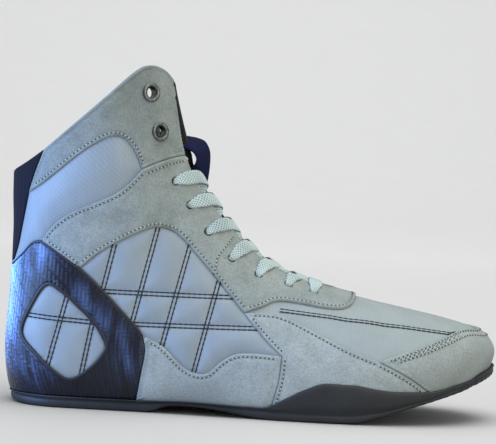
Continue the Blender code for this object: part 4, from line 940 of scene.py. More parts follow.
# Suede overlays with rolled edges, pressed down along their stitch rows
overlay = {"gap": 0.3, "roll": 1.2, "start": 0.03, "bead": 0.35, "beadAt": (1.0, 0.65),
           "stitchDip": 0.45, "stitchAt": (2.1, 0.6), "turned": 1.1, "turnedAt": (1.5, 1.3)}
lapGap = fromBorder(["stayTop"])
overlays = {
    "toeCap": (1.25, ["capTop", "foreFront"], suede, "suede", ["toe_cap"]),
    "eyestay": (1.4, ["stayBack", "stayTop", "throatLow", "stayLow", "quiltTop", "counterStay"],
                shadedStaySuede, "suede", ["eyestay"]),
    "counter": (1.35, ["counterTop", "counterStay", "counterFront", "counterFoot", "window"],
                twill, "counter_weave", ["heel_counter"]),
    "gusset": (0.9, ["gussetSide", "gussetLow", "gussetTop"], elastic, "black_elastic", ["achilles_panel"]),
    "cuff": (1.1, ["cuff", "stayTop", "throatHigh", "flap", "gussetSide"], shadedCuffSuede, "suede", ["collar_cuff"]),
    "mudguard": (1.1, ["guardTop", "guardFront", "counterFoot"], suede, "suede", ["mudguard"]),
    "forefoot": (1.3, ["foreTop", "foreFront", "guardFront", "quiltFront"], suede, "suede",
                 ["forefoot_overlay"]),
}
# Distance round the heel, for the counter's weave: an even oval, straight ahead of its middle
heelOval = {"deep": 38.0, "wide": 33.0}
backLine = sections[heelRow:heelRow + 4]
heelBack = curve([row[3] for row in backLine], [row[2] for row in backLine])
bend = np.linspace(0, 0.5 * math.pi, 400)
heelX = heelOval["deep"] * (1 - np.cos(bend) ** (2 / heelRound))
heelY = heelOval["wide"] * np.sin(bend) ** (2 / heelRound)
heelArc = np.concatenate([[0], np.cumsum(np.hypot(np.diff(heelX), np.diff(heelY)))])
centre = heelBack(skin[:, 2]) + heelOval["deep"]
turned = np.arctan2(np.abs(skin[:, 1]) / heelOval["wide"], np.maximum(centre - skin[:, 0], 0) / heelOval["deep"])
heelTurn = np.arctan2(heelY / heelOval["wide"], 1 - heelX / heelOval["deep"])
roundHeel = np.interp(turned, heelTurn, heelArc) + np.maximum(skin[:, 0] - centre, 0)
heelWrap = np.stack([roundHeel * np.repeat([1, -1], half), skin[:, 2]], axis=1)
for name, (thick, seams, mat, slot, nodes) in overlays.items():
    names = seams + [key for key in lines if key.startswith("hole")]
    edge = fromBorder(names)
    rise = np.sqrt(1 - (1 - np.clip((edge + overlay["start"]) / overlay["roll"], 0, 1)) ** 2)
    if slot == "suede":  # turned edge swells, the stitch row pulls it down
        thick = thick + overlay["bead"] * hump(edge, *overlay["beadAt"])
        thick = thick - overlay["stitchDip"] * hump(edge, *overlay["stitchAt"])
    if name == "eyestay":
        thick = thick + overlay["turned"] * hump(lapGap, *overlay["turnedAt"])
    low = lie + overlay["gap"]
    high = low + thick * rise
    which = chosen[name] & ~chosen["window"] if name == "counter" else chosen[name]
    uv = heelWrap if name == "counter" else wrap
    if nodes[0] in ("collar_cuff", "mudguard", "forefoot_overlay"):
        for word, part in zip(("Lateral", "Medial"), np.split(bothSides(which), 2)):
            layer(name + word, part, low, high, [mat], slot, [f"{nodes[0]}_{word.lower()}"], uv=uv)
    else:
        layer(name, bothSides(which), low, high, [mat], slot, nodes, uv=uv)
print("overlays done")

firsts = np.cumsum([0] + [len(points) for points, tri in tops])
outerTree = meshTree(np.vstack([points for points, tri in tops]),
                     np.vstack([tri + first for (points, tri), first in zip(tops, firsts)]))


drape = {"from": 9.0, "reach": 14.0, "lift": 1.5}   # how a place above the skin finds what lies there


def draped(pairs, side):  # points and normals on top of whatever lies there
    pairs = np.asarray(pairs, float)
    spots, out = onSide(pairs, side), []
    found = []
    for spot, flat in zip(spots, pairs * flatScale):
        near = flatTree.find_n((*flat, 0.0), 4)
        index = np.array([i for _, i, _ in near])
        index = index if side < 0 else medialOf[index]
        share = np.array([1 / (gap + 0.3) for _, _, gap in near])
        share = share / share.sum()
        spot, way = spot + share @ shifted[index], unit(share @ normal[index])
        hit = outerTree.ray_cast(Vector(spot + drape["from"] * way), Vector(-way), drape["reach"])
        found.append(np.array(hit[0]) if hit[0] is not None else spot + drape["lift"] * way)
        out.append(way)
    return np.array(found), np.array(out)


# Stitches: small capsules laid end to end, joined in one mesh for each thread
stitch = {"sides": 5, "rings": ((0.0, 0.4), (0.12, 0.88), (0.5, 1.0), (0.88, 0.88), (1.0, 0.4)),
          "arch": 0.35, "sunk": 0.2}


def stitchRow(pairs, side, pitch, length, thick, keep=None, first=0.6):
    spots, out = draped(pairs, side)
    reach = reachOf(spots)
    made = []
    for start in np.arange(first, reach[-1] - length, pitch):
        ends = [sampled(start + t, reach, spots) for t in (0, length)]
        up = unit(sampled(start + 0.5 * length, reach, out))
        flat = sampled(start + 0.5 * length, reach, pairs) * flatScale
        if keep is None or keep(flat[None])[0]:
            made.append((*ends, up, thick))
    return made


def sewn(name, made, mat, slot):
    points, faces = [], []
    sides = stitch["sides"]
    for start, end, up, thick in made:
        along = unit(end - start)
        across = unit(np.cross(up, along))
        up = np.cross(along, across)
        first = len(points)
        for share, grow in stitch["rings"]:
            middle = start + (end - start) * share + up * thick * (stitch["arch"] * grow - stitch["sunk"])
            for k in range(sides):
                turn = 2 * math.pi * k / sides
                points.append(middle + 0.5 * thick * grow * (across * math.cos(turn) + up * math.sin(turn)))
        count = len(stitch["rings"])
        for r in range(count - 1):
            for k in range(sides):
                a, b = first + r * sides + k, first + r * sides + (k + 1) % sides
                faces.append((a, b, b + sides, a + sides))
        faces.append(tuple(first + k for k in range(sides))[::-1])
        faces.append(tuple(first + (count - 1) * sides + k for k in range(sides)))
    return addPiece(name, points, faces, [mat], slot)


def besideSeam(name, panel, away):  # a line that keeps a distance from a seam, inside a panel
    pairs = evenRows(seam[name], 1.0)
    away = away[0] + (away[1] - away[0]) * np.linspace(0, 1, len(pairs))
    across = acrossLine(pairs)
    tries = [stepped(pairs, way * away[:, None] * across) for way in (-1, 1)]
    held = [inside(t * flatScale, panels[panel]) for t in tries]
    best = int(held[1].sum() > held[0].sum())
    line, away = tries[best][held[best]], away[held[best]]
    tree = borderTree([n for n in overlays[panel][1] if n in lines])
    return line[nearest(tree, onSide(line)) > 0.8 * away]


# seam, panel sewn down, distance of the row from the edge at both ends of the seam
suedeRows = (("cuff", "cuff", (2.1, 2.1)), ("stayBack", "eyestay", (2.1, 2.1)),
             ("stayTop", "eyestay", (3.6, 3.2)),
             ("quiltTop", "eyestay", (2.1, 2.1)), ("counterStay", "eyestay", (2.4, 2.4)),
             ("stayLow", "eyestay", (2.1, 2.1)), ("guardTop", "mudguard", (2.1, 2.1)),
             ("guardFront", "forefoot", (2.1, 2.1)), ("quiltFront", "forefoot", (2.1, 2.1)),
             ("foreTop", "forefoot", (2.1, 2.1)), ("foreFront", "forefoot", (2.1, 2.1)),
             ("capTop", "toeCap", (1.9, 1.9)), ("capTop", "toeCap", (4.0, 7.6)))
crossSeam = ((120.0, 73.0), (123.0, 84.0), (123.6, 90.0), (127.0, 95.0), (132.0, 102.0))
# the dark capsules sit between the stitches as painted shade in the needle holes
suedeThread = {"pitch": 2.5, "light": (1.5, 0.8), "dark": (1.2, 1.1), "darkFrom": 2.0}  # length and thickness
blackSeam = {"pitch": 3.1, "length": 3.08, "thick": 0.95}
# Crossed threads between the two rows of the toe cap; dark dots of painted shade at the holes and the crossings,
# each with shares of both rows and a step ahead
capCross = {"from": 227.0, "to": 269.0, "count": 16, "lift": 0.2, "thick": 0.62, "lockThick": 0.95,
            "locks": ((0.5, 0.5, 0.0), (0.85, 0.15, 1.2), (0.15, 0.85, 1.2))}


def inStay(flat):
    return inside(flat, panels["eyestay"])


light, dark = [], []
for side in (-1, 1):
    suedeLines = [(besideSeam(*row), None) for row in suedeRows] + [(locate(resample(crossSeam, 1.0)), inStay)]
    for line, keep in suedeLines:
        if len(line) > 4:
            light += stitchRow(line, side, suedeThread["pitch"], *suedeThread["light"], keep)
            dark += stitchRow(line, side, suedeThread["pitch"], *suedeThread["dark"], keep,
                              suedeThread["darkFrom"])
    edges = [draped(besideSeam(*row), side) for row in suedeRows[-2:]]
    marks = np.linspace(capCross["from"], capCross["to"], capCross["count"] + 1)
    ends = [sampled(marks, p[:, 0], p) for p, out in edges]
    faces = [unit(sampled(marks, p[:, 0], out)) for p, out in edges]
    for k in range(capCross["count"]):
        for a, b in ((0, 1), (1, 0)):
            start, end = (ends[i][j] + capCross["lift"] * faces[i][j] for i, j in ((a, k), (b, k + 1)))
            light.append((start, end, faces[a][k], capCross["thick"]))
        along = unit(ends[0][k + 1] - ends[0][k])
        for first, second, ahead in capCross["locks"]:
            spot = first * ends[0][k] + second * ends[1][k] + ahead * along
            dark.append((spot - 0.5 * along, spot + 0.5 * along, faces[0][k], capCross["lockThick"]))
sewn("suedeStitches", light, greyThread, "suede")
# painted shade: dark capsules standing in the needle holes
sewn("suedeStitchLocks", dark, holeShadeThread, "suede")
print("suede stitches:", len(light) + len(dark))
made = []


def inQuilt(flat):
    return inside(flat, panels["quilt"]) | inside(flat, panels["window"])


for side in (-1, 1):
    for row, apart, keep in [(r, quilting["apart"], inQuilt) for r in quiltRows] + [
            (vampRow, vampSeam["apart"], None)]:
        pairs = locate(row)
        across = acrossLine(pairs)
        for way in (-0.5, 0.5):
            made += stitchRow(stepped(pairs, way * apart * across), side, *blackSeam.values(), keep)
sewn("quiltStitches", made, blackThread, "satin_fabric")
print("black stitches:", len(made))


def tube(name, path, across, up, wide, thick, mats, slot, nodes=(), closed=False, sides=10, uvWide=None):
    path, count = np.asarray(path, float), len(path)
    wide, thick = np.broadcast_to(wide, count), np.broadcast_to(thick, count)
    reach, points, uv = reachOf(path), [], []
    for i in range(count):
        for k in range(sides):
            turn = 2 * math.pi * k / sides
            c, s = math.cos(turn), math.sin(turn)
            c, s = math.copysign(abs(c) ** 0.75, c), math.copysign(abs(s) ** 0.75, s)
            points.append(path[i] + 0.5 * wide[i] * across[i] * c + 0.5 * thick[i] * up[i] * s)
            uv.append((reach[i], 0.5 * (uvWide or wide[i]) * c))
    faces = []
    for i in range(count if closed else count - 1):
        j = (i + 1) % count
        faces += [(i * sides + k, j * sides + k, j * sides + (k + 1) % sides, i * sides + (k + 1) % sides)
                  for k in range(sides)]
    if not closed:
        faces += [tuple(range(sides)), tuple((count - 1) * sides + k for k in range(sides))[::-1]]
    return addPiece(name, points, faces, mats, slot, nodes, uv=np.array(uv))


# Binding rolled over the counter's top edge and round its window
edging = {"wide": 1.7, "thick": 1.3, "height": 1.3, "windowWide": 2.1, "taper": 3.0, "tip": 0.3}


def bindingPath(pairs, side):  # seam points are points of the pattern, so the binding follows its skin
    index = np.array([flatTree.find((*p, 0.0))[1] for p in pairs * flatScale])
    index = index if side < 0 else medialOf[index]
    return skin[index] + normal[index] * edging["height"], normal[index]


topEdge = np.vstack([seam["counterTop"][1:-1], seam["counterStay"][:-1], seam["counterFront"]])
near, nearUp = bindingPath(topEdge, -1)
far, farUp = bindingPath(topEdge, 1)
path = resample(np.vstack([near[::-1], far]), 1.5)
ups = np.vstack([nearUp[::-1], farUp])
ups = unit(sampled(np.linspace(0, 1, len(path)), np.linspace(0, 1, len(ups)), ups))
along = unit(np.gradient(path, axis=0))
fromEnd = np.minimum(np.arange(len(path)), np.arange(len(path))[::-1])
taper = np.clip(fromEnd / edging["taper"], edging["tip"], 1)
tube("counterBinding", path, np.cross(ups, along), ups, edging["wide"] * taper, edging["thick"] * taper,
     [binding], "counter_weave")
for side, word in ((-1, "Lateral"), (1, "Medial")):
    path, ups = bindingPath(seam["window"], side)
    along = unit(np.roll(path, -1, axis=0) - np.roll(path, 1, axis=0))
    tube("windowBinding" + word, path, np.cross(ups, along), ups, edging["windowWide"], edging["thick"],
         [binding], "counter_weave", closed=True)
print("bindings done")

# Tongue: foam between two cloths, pressed down at its sides by the lace, crowned in the throat
tongue = {"thick": 4.2, "rise": 3.4, "under": 4.6, "roll": 2.4, "free": (142.0, 12.0), "freeUnder": 2.5,
          "sunk": 2.0, "sinks": (150.0, 40.0), "crown": 9.0, "tip": 0.15}  # pairs: from a height, over so many mm
edgeY = throatHalf(rows)
halfY = 0.5 * (medialSkin[:, 1] - lateralSkin[:, 1])
gapShare = np.where(rows > throatStart + 0.1, soft((edgeY - 0.4 - halfY) / tongue["crown"]), 0.0)
free = soft((lateralSkin[:, 2] - tongue["free"][0]) / tongue["free"][1])  # above the lace, against the cuffs
under = tongue["under"] + free * (tongue["freeUnder"] - tongue["under"])
sunk = tongue["sunk"] * soft((lateralSkin[:, 2] - tongue["sinks"][0]) / tongue["sinks"][1])
tongueHigh = np.tile(-under - sunk + gapShare * np.minimum(tongue["rise"], under + 0.2), 2)
edge = fromBorder(["tongueSide"])
roll = np.sqrt(1 - (1 - np.clip(edge / tongue["roll"], 0, 1)) ** 2)
middle = tongueHigh - 0.5 * tongue["thick"]
body = 0.5 * tongue["thick"] * (tongue["tip"] + (1 - tongue["tip"]) * roll)
tonguePad = layer("tonguePad", bothSides(chosen["tongue"]), middle - body, middle + body, [tongueCloth],
                  "tongue_fabric", ["tongue"])

# Pull loop: webbing sewn to the tongue at both ends, skewed with use so that its face shows
pull = {"wide": 18.0, "thick": 1.8, "edgeThin": 0.75, "steps": 64, "wideSteps": 13,
        "far": ((102.4, 160.4), (105.5, 160.0), (108.6, 159.5), (113.2, 157.6), (116.1, 152.6), (116.7, 146.8),
                (116.4, 140.0), (115.5, 132.6)),
        "near": ((101.0, 154.4), (103.4, 153.0), (105.8, 151.9), (107.8, 150.2), (109.0, 147.6), (108.7, 145.2),
                 (107.8, 143.6), (106.2, 142.4))}
farEdge, nearEdge = (resample(pull[key], 0.25) for key in ("far", "near"))
count, wideSteps = pull["steps"], np.linspace(-1, 1, pull["wideSteps"])
farEdge, nearEdge = (sampled(np.linspace(0, 1, count), np.linspace(0, 1, len(e)), e)
                     for e in (farEdge, nearEdge))
points, uv = [], []
for i in range(count):
    step = (farEdge[min(i + 1, count - 1)] + nearEdge[min(i + 1, count - 1)]
            - farEdge[max(i - 1, 0)] - nearEdge[max(i - 1, 0)])
    out = unit(np.array([-step[1], step[0]]))
    for face in (1, -1):
        for w in wideSteps:
            spot = nearEdge[i] + (farEdge[i] - nearEdge[i]) * 0.5 * (w + 1)
            spot = spot + out * face * 0.5 * pull["thick"] * (1 - pull["edgeThin"] * abs(w) ** 10)
            points.append((spot[0], 0.5 * pull["wide"] * w, spot[1]))
            uv.append((1.2 * i, 0.5 * pull["wide"] * w))
faces, size = [], len(wideSteps)
around = list(range(size)) + list(range(2 * size - 1, size - 1, -1))
for i in range(count - 1):
    a, b = 2 * size * i, 2 * size * (i + 1)
    faces += [(a + j, b + j, b + k, a + k) for j, k in zip(around, around[1:] + around[:1])]
faces += [tuple(around), tuple(2 * size * (count - 1) + j for j in around[::-1])]
addPiece("pullLoop", points, faces, [webbing], "webbing", ["pull_loop"], uv=np.array(uv))
print("tongue and pull loop done")

# Lace: one flat braid through all fourteen holes, ends hidden below the top pair
lace = {"wide": 8.3, "thick": 1.2, "inHole": 3.9, "over": 2.45, "middle": 0.6, "below": -3.2, "cross": 0.75,
        "crossWide": 6.0, "bow": 0.3, "bowLong": 11.0, "squeeze": 4.6, "clear": 1.9,
        "through": (-2.6, -0.6, 1.4), "bunch": 0.35, "bunchOver": 3.0}  # a lace squeezed narrow is thicker
signed = [holeSpots * (1, -1), holeSpots]
ways = unit(np.diff(np.array(pattern["laceHoles"]), axis=0))
ways = np.vstack([ways, ways[-1:]])


def onLast(pairs):  # point and normal at signed v, lateral negative
    s, v = pairs[:, 0], pairs[:, 1]
    side = np.where(v < 0, -1.0, 1.0)
    point = surface(s, np.abs(v), side)
    ds = surface(s + 0.03, np.abs(v), side) - surface(s - 0.03, np.abs(v), side)
    dv = (surface(s, np.abs(v + 0.01), np.where(v + 0.01 < 0, -1.0, 1.0))
          - surface(s, np.abs(v - 0.01), np.where(v - 0.01 < 0, -1.0, 1.0)))
    return point, unit(np.cross(dv, ds))


def rowAlong(spots, way):  # (s, signed v) under points of a straight line between two holes
    y, reach = spots[:, 1], spots[:, 0] * way[0] + spots[:, 2] * way[1]
    near, far = np.full(len(y), 5.5), np.full(len(y), 16.0)
    for _ in range(40):
        s = 0.5 * (near + far)
        at = surface(s, vAt(s, np.abs(y)), np.where(y < 0, -1.0, 1.0))
        beyond = at[:, 0] * way[0] + at[:, 2] * way[1] > reach
        near, far = np.where(beyond, s, near), np.where(beyond, far, s)
    return np.stack([s, np.copysign(vAt(s, np.abs(y)), y)], axis=1)


def strap(start, end, way, crossing, dives=True):
    ends, _ = onLast(np.array([start, end]))
    length = np.linalg.norm(ends[1] - ends[0])
    share = np.linspace(0, 1, 31)
    pairs = rowAlong(ends[0] + (ends[1] - ends[0]) * share[:, None], way)
    pairs[0], pairs[-1] = start, end
    spots, out = onLast(pairs)
    fromStart, fromEnd = share * length, (1 - share) * length
    if dives:  # over its own side, down across the throat and under the other side's edge
        reach = spots[:, 1] / throatHalf(pairs[:, 0]) * np.sign(end[1])
        height = lace["over"] + (lace["middle"] - lace["over"]) * soft(reach + 1)
        height = height + (lace["below"] - lace["middle"]) * soft(reach / 0.97)
    else:
        height = np.full(len(share), lace["over"] - 0.3)
    height = height + crossing * hump((share - 0.5) * length, 0.0, lace["crossWide"])
    height = height + lace["bow"] * np.sin(math.pi * np.clip(fromStart / lace["bowLong"], 0, 1))
    keep = np.minimum(fromStart, fromEnd) > lace["clear"]
    across = unit(np.cross(out, unit(ends[1] - ends[0])))
    squeeze = soft(np.minimum(fromStart, fromEnd) / lace["squeeze"])
    wide = lace["inHole"] + (lace["wide"] - lace["inHole"]) * squeeze
    return (spots + out * height[:, None])[keep], across[keep], wide[keep]


def hole(place, across, rising):  # the few points where the lace passes through
    spot, out = onLast(np.array([place]))
    heights = np.array(lace["through"][::1 if rising else -1])
    return spot + out * heights[:, None], np.repeat(across[None], 3, axis=0), np.full(3, lace["inHole"])


runs = []
order = [(i % 2, i) for i in range(7)]             # near 1, far 2, near 3 and on to near 7
for (sideA, i), (sideB, j) in zip(order, order[1:]):
    runs.append(strap(signed[sideA][i], signed[sideB][j], ways[i], lace["cross"] * (-1 if sideA else 1)))
runs.append(strap(signed[0][6], signed[1][6], ways[6], 0.0, dives=False))
for i in range(5, -1, -1):
    sideA, sideB = 1 - i % 2, i % 2
    crossing = lace["cross"] * (-1 if sideA else 1)
    points, across, wide = strap(signed[sideA][i], signed[sideB][i + 1], ways[i], crossing)
    runs.append((points[::-1], -across[::-1], wide[::-1]))
stops = [signed[s][i] for s, i in order] + [signed[1][6]] + [signed[1 - i % 2][i] for i in range(5, -1, -1)]
path, across, wide = [], [], []
for i, (points, turn, width) in enumerate(runs):
    turn = turn * (1 if i % 2 == 0 else -1)
    rising = i <= 6
    p, t, w = hole(stops[i], turn[0], rising)
    path.extend([p, points])
    across.extend([t, turn])
    wide.extend([w, width])
p, t, w = hole(stops[-1], across[-1][-1], False)
path, across, wide = np.vstack(path + [p]), np.vstack(across + [t]), np.concatenate(wide + [w])
reach = reachOf(path)
fine = resample(path, 0.9)
marks = np.linspace(0, 1, len(fine)) * reach[-1]
across, wide = unit(sampled(marks, reach, across)), np.interp(marks, reach, wide)
along = unit(np.gradient(fine, axis=0))
across = unit(across - along * (across * along).sum(axis=1, keepdims=True))
thick = lace["thick"] * (1 + lace["bunch"] * (lace["wide"] - wide) / lace["bunchOver"])
tube("lace", fine, across, np.cross(along, across), wide, thick, [laceBraid], "lace_braid", ["lace"],
     sides=14, uvWide=lace["wide"])
print("lace length mm:", round(float(reach[-1])))

# Pressed grommets: a rounded flange outside, a barrel through the wall and a flat washer inside
grommet = {"hole": 3.2, "barrel": 3.7, "flange": 5.7, "top": 1.55, "bottom": -2.6, "steps": 48,
           "profile": (("hole", 0, "bottom", 0), ("hole", 0.25, "bottom", -0.4),
                       ("flange", -0.7, "bottom", -0.35), ("flange", -0.4, "bottom", -0.1),
                       ("flange", -0.6, "bottom", 0.15), ("barrel", 0, "bottom", 0.2),
                       ("barrel", 0, "top", -0.15), ("flange", -0.25, "top", -0.15), ("flange", 0, "top", 0.1),
                       ("flange", -0.1, "top", 0.45), ("flange", -0.6, "top", 0.85),
                       ("flange", -1.3, "top", 1.05), ("hole", 0.7, "top", 0.85), ("hole", 0.2, "top", 0.45),
                       ("hole", 0, "top", -0.1))}
profile = [(grommet[ring] + out, grommet[level] + up) for ring, out, level, up in grommet["profile"]]
for side, word in ((-1, "Lateral"), (1, "Medial")):
    for level, spot in ringSpots.items():
        centre = slumped(surface(spot[0], spot[1], side), side)
        ds, dv = tangents(np.array([spot[0]]), np.array([spot[1]]), np.array([side]))
        axis = unit(np.cross(ds, dv) * -side)[0]
        right = unit(ds)[0]
        up = np.cross(axis, right)
        points, faces, size = [], [], len(profile)
        for i in range(grommet["steps"]):
            turn = 2 * math.pi * i / grommet["steps"]
            spoke = right * math.cos(turn) + up * math.sin(turn)
            points += [centre + spoke * r + axis * h for r, h in profile]
            a, b = i * size, (i + 1) % grommet["steps"] * size
            faces += [(a + j, b + j, b + (j + 1) % size, a + (j + 1) % size) for j in range(size)]
        addPiece(f"grommet{level.title()}{word}", points, faces, [pewter], "eyelet_metal",
                 [f"eyelet_ring_{level}_{word.lower()}"])
print("grommets done")

# Outsole: a moulded ring round the base line, closed below by the tread
outsole = {
    "cover": 1.8, "rim": 1.4, "heelRim": 0.5, "gap": 0.3,
    "underX": (0.0, 10.0, 16.0, 86.0, 92.0, 99.0, 108.0, 118.0, 133.0, 148.0, 162.0, 206.0,
               216.0, 234.0, 256.0, 276.0, 292.0),
    "underZ": (2.6, 0.5, 0.0, 0.0, 1.4, 3.8, 4.4, 4.2, 2.6, 0.9, 0.0, 0.5, 2.8, 8.6, 15.6, 22.4, 28.6),
    "lipX": (0.0, 154.0, 160.0, 167.0, 178.0, 191.0, 204.0, 219.0, 234.0, 250.0, 264.0, 292.0),
    "lipRise": (0.8, 0.8, 3.0, 7.0, 13.0, 17.4, 17.0, 13.0, 8.4, 4.4, 2.4, 0.6),
    "bevelX": (0.0, 12.0, 30.0, 90.0, 110.0, 150.0, 230.0, 280.0, 292.0),
    "bevelIn": (4.0, 3.2, 1.8, 1.8, 4.5, 2.0, 1.8, 3.0, 4.0),
    "slots": (24.0, 38.0, 52.0, 66.0, 172.0, 182.0, 192.0, 202.0, 214.0, 226.0, 238.0),
    "slotWide": 3.0, "slotDeep": 1.4, "slotInset": 7.0, "slotChamfer": 0.6,
    "ribPitch": 5.0, "ribDeep": 0.55, "ribFrom": 236.0, "heelSpan": 30.0, "grid": 7.0, "cast": 40.0,
    "wall": ((0.35, 0.0), (0.62, 0.0), (0.72, 0.35), (0.82, 0.0), (1.0, 0.0)),   # share of height, groove
    "lip": ((0.1, 1.0), (0.3, 1.0), (0.5, 1.0), (0.7, 1.0), (0.88, 0.9), (1.0, 0.45)),   # share, thickness
    "lean": 0.95, "leanLess": 0.4, "leanFrom": 20.0, "leanOver": 60.0,   # least lean, so that no lip shoots out
}
underside = curve(outsole["underX"], outsole["underZ"])
lipRise = curve(outsole["lipX"], outsole["lipRise"])
bevelIn = curve(outsole["bevelX"], outsole["bevelIn"])
dense = np.stack([np.linspace(heelRow, 0, 900), np.ones(900)], axis=1)
path = np.vstack([evenRows(dense, 1.3)[:-1], np.stack([np.zeros(40), np.linspace(1, 0, 41)[:-1]], axis=1)])
foot = np.vstack([onSide(path), surface(0.0, 0.0, -1)[None],
                  surface(path[:0:-1, 0], path[:0:-1, 1], 1)])
flatWay = (np.roll(foot, -1, axis=0) - np.roll(foot, 1, axis=0))[:, :2]
outward = unit(np.stack([flatWay[:, 1], -flatWay[:, 0], np.zeros(len(foot))], axis=1))
knots = [(-10.0, 6.0)] + [(row[2], row[3]) for row in sections[heelRow::-1]] + [(287.8, 32.5), (300.0, 38.0)]
footHeight = curve(*zip(*knots))
skinTree = meshTree(skin, bothSides(chosen["upper"]))
profile = []
for point, out, far in zip(foot, outward, reachOf(foot)):
    x, rise = point[0], float(lipRise(point[0]))
    rim = outsole["heelRim"] + (outsole["rim"] - outsole["heelRim"]) * float(soft(x / outsole["heelSpan"]))
    wide = outsole["cover"] + rim
    bevel = float(bevelIn(x))
    rib = outsole["ribDeep"] * float(soft((x - outsole["ribFrom"]) / 6)) * (0.5 - 0.5 * math.cos(
        2 * math.pi * far / outsole["ribPitch"]))
    edge = point + out * (wide - bevel)
    low = float(underside(edge[0]))
    shoulder = low + min(0.6 * bevel, 0.45 * (point[2] - outsole["gap"] - low))
    column = []
    for turn in (0.0, 30.0, 60.0, 90.0):
        c, s = math.cos(math.radians(turn)), math.sin(math.radians(turn))
        spot = point + out * (wide - bevel + bevel * s - rib)
        column.append(np.array([spot[0], spot[1], low + (shoulder - low) * (1 - c)]))
    column[0] = np.array([edge[0], edge[1], low])
    top = point[2] - outsole["gap"]
    for t, groove in outsole["wall"]:
        spot = point + out * (wide - groove - rib * (1 - t))
        column.append(np.array([spot[0], spot[1], shoulder + (top - shoulder) * t]))
    lips = []
    least = outsole["lean"] - outsole["leanLess"] * float(soft((x - outsole["leanFrom"]) / outsole["leanOver"]))
    for share, full in outsole["lip"]:
        start = Vector((*(point + out * outsole["cast"])[:2], point[2] + rise * share))
        hit, facing, _, _ = skinTree.ray_cast(start, Vector(-out))
        lean = max(float(np.dot(np.array(facing), out)), least)
        thick = rim * (1.0 - 0.3 * share) * full
        lips.append((np.array(hit) + out * (outsole["cover"] / lean + 0.3), thick))
    column += [inner + out * thick for inner, thick in lips]
    column += [inner for inner, thick in lips[::-2]]
    column.append(np.array([*(point + out * outsole["cover"])[:2], top]))
    profile.append(column)
profile = np.array(profile)
around, ranks = profile.shape[:2]
solePoints, soleFaces = list(profile.reshape(-1, 3)), []
for i in range(around):
    j = (i + 1) % around
    soleFaces += [(i * ranks + k, j * ranks + k, j * ranks + k + 1, i * ranks + k + 1) for k in range(ranks - 1)]


def plan(outline, spacing, rings=()):  # triangles of a closed outline seen from above
    outline = np.asarray(outline)[:, :2]
    low, high = outline.min(axis=0), outline.max(axis=0)
    spots = np.array([(x, y) for x in np.arange(low[0], high[0], spacing)
                      for y in np.arange(low[1] + 0.4 * spacing, high[1], spacing)])
    spots = spots[inside(spots, outline)]
    border = np.vstack([densely(np.vstack([r, r[:1]]), 1.0) for r in [outline, *rings]])
    spots = spots[nearest(treeOf(border), spots) > 0.5 * spacing]
    points, edges = [], []
    for ring in [outline, *rings]:
        first = len(points)
        points.extend(tuple(p) for p in ring)
        edges.extend((first + i, first + (i + 1) % len(ring)) for i in range(len(ring)))
    points.extend(tuple(p) for p in spots)
    cut = delaunay_2d_cdt([Vector(p) for p in points], edges, [], 0, 1e-4)
    where, tri = np.array([tuple(p) for p in cut[0]]), np.array(cut[2])
    tri = wound(where, tri[inside(where[tri].mean(axis=1), outline)])
    tree = treeOf(where)
    return where, tri, [tree.find((*p, 0.0))[1] for p in outline]


ground = profile[:, 0]
mid = len(path)
slots = []
for x in outsole["slots"]:
    near = np.interp(x, ground[1:mid, 0], ground[1:mid, 1]) + outsole["slotInset"]
    far = np.interp(x, ground[:mid:-1, 0], ground[:mid:-1, 1]) - outsole["slotInset"]
    for grow in (0.5 * outsole["slotWide"], 0.5 * outsole["slotWide"] - outsole["slotChamfer"]):
        slots.append(np.array([(x - grow, near - grow), (x + grow, near - grow),
                               (x + grow, far + grow), (x - grow, far + grow)]))
for outline, rings, turn in ((ground, slots, -1), (profile[:, -1], (), 1)):
    where, tri, order = plan(outline, outsole["grid"], rings)
    index = {k: i * ranks + (0 if turn < 0 else ranks - 1) for i, k in enumerate(order)}
    for k, (x, y) in enumerate(where):
        if k in index:
            continue
        deep = any(r[0, 0] - 1e-3 <= x <= r[1, 0] + 1e-3 and r[0, 1] - 1e-3 <= y <= r[2, 1] + 1e-3
                   for r in slots[1::2])
        if turn < 0:
            z = float(underside(x)) + outsole["slotDeep"] * deep
        else:
            z = float(footHeight(x)) - outsole["gap"]
        index[k] = len(solePoints)
        solePoints.append(np.array([x, y, z]))
    soleFaces += [tuple(index[int(k)] for k in f[::turn]) for f in tri]
addPiece("outsoleRubber", solePoints, soleFaces, [rubber], "outsole_rubber", ["outsole"])

# Insole: knit on foam, cupped up a little at its border
insole = {"thick": 3.6, "inset": 3.0, "cup": 1.6, "cupWide": 9.0, "lift": 0.1, "grid": 6.0}
bed = foot[::2] - outward[::2] * insole["inset"]
where, tri, order = plan(bed, insole["grid"])
away = nearest(treeOf(bed[:, :2]), where)
bottom = np.column_stack([where, footHeight(where[:, 0]) + insole["lift"]])
top = bottom.copy()
top[:, 2] += insole["thick"] + insole["cup"] * (1 - soft(away / insole["cupWide"]))
count = len(where)
walls = [(a, b, b + count, a + count) for a, b in zip(order, order[1:] + order[:1])]
faces = [*tri[:, ::-1], *(tri + count), *walls]
addPiece("insoleSock", np.vstack([bottom, top]), faces, [insoleKnit], "insole_fabric", ["insole"],
         uv=np.vstack([where, where]))
print("sole and insole done")

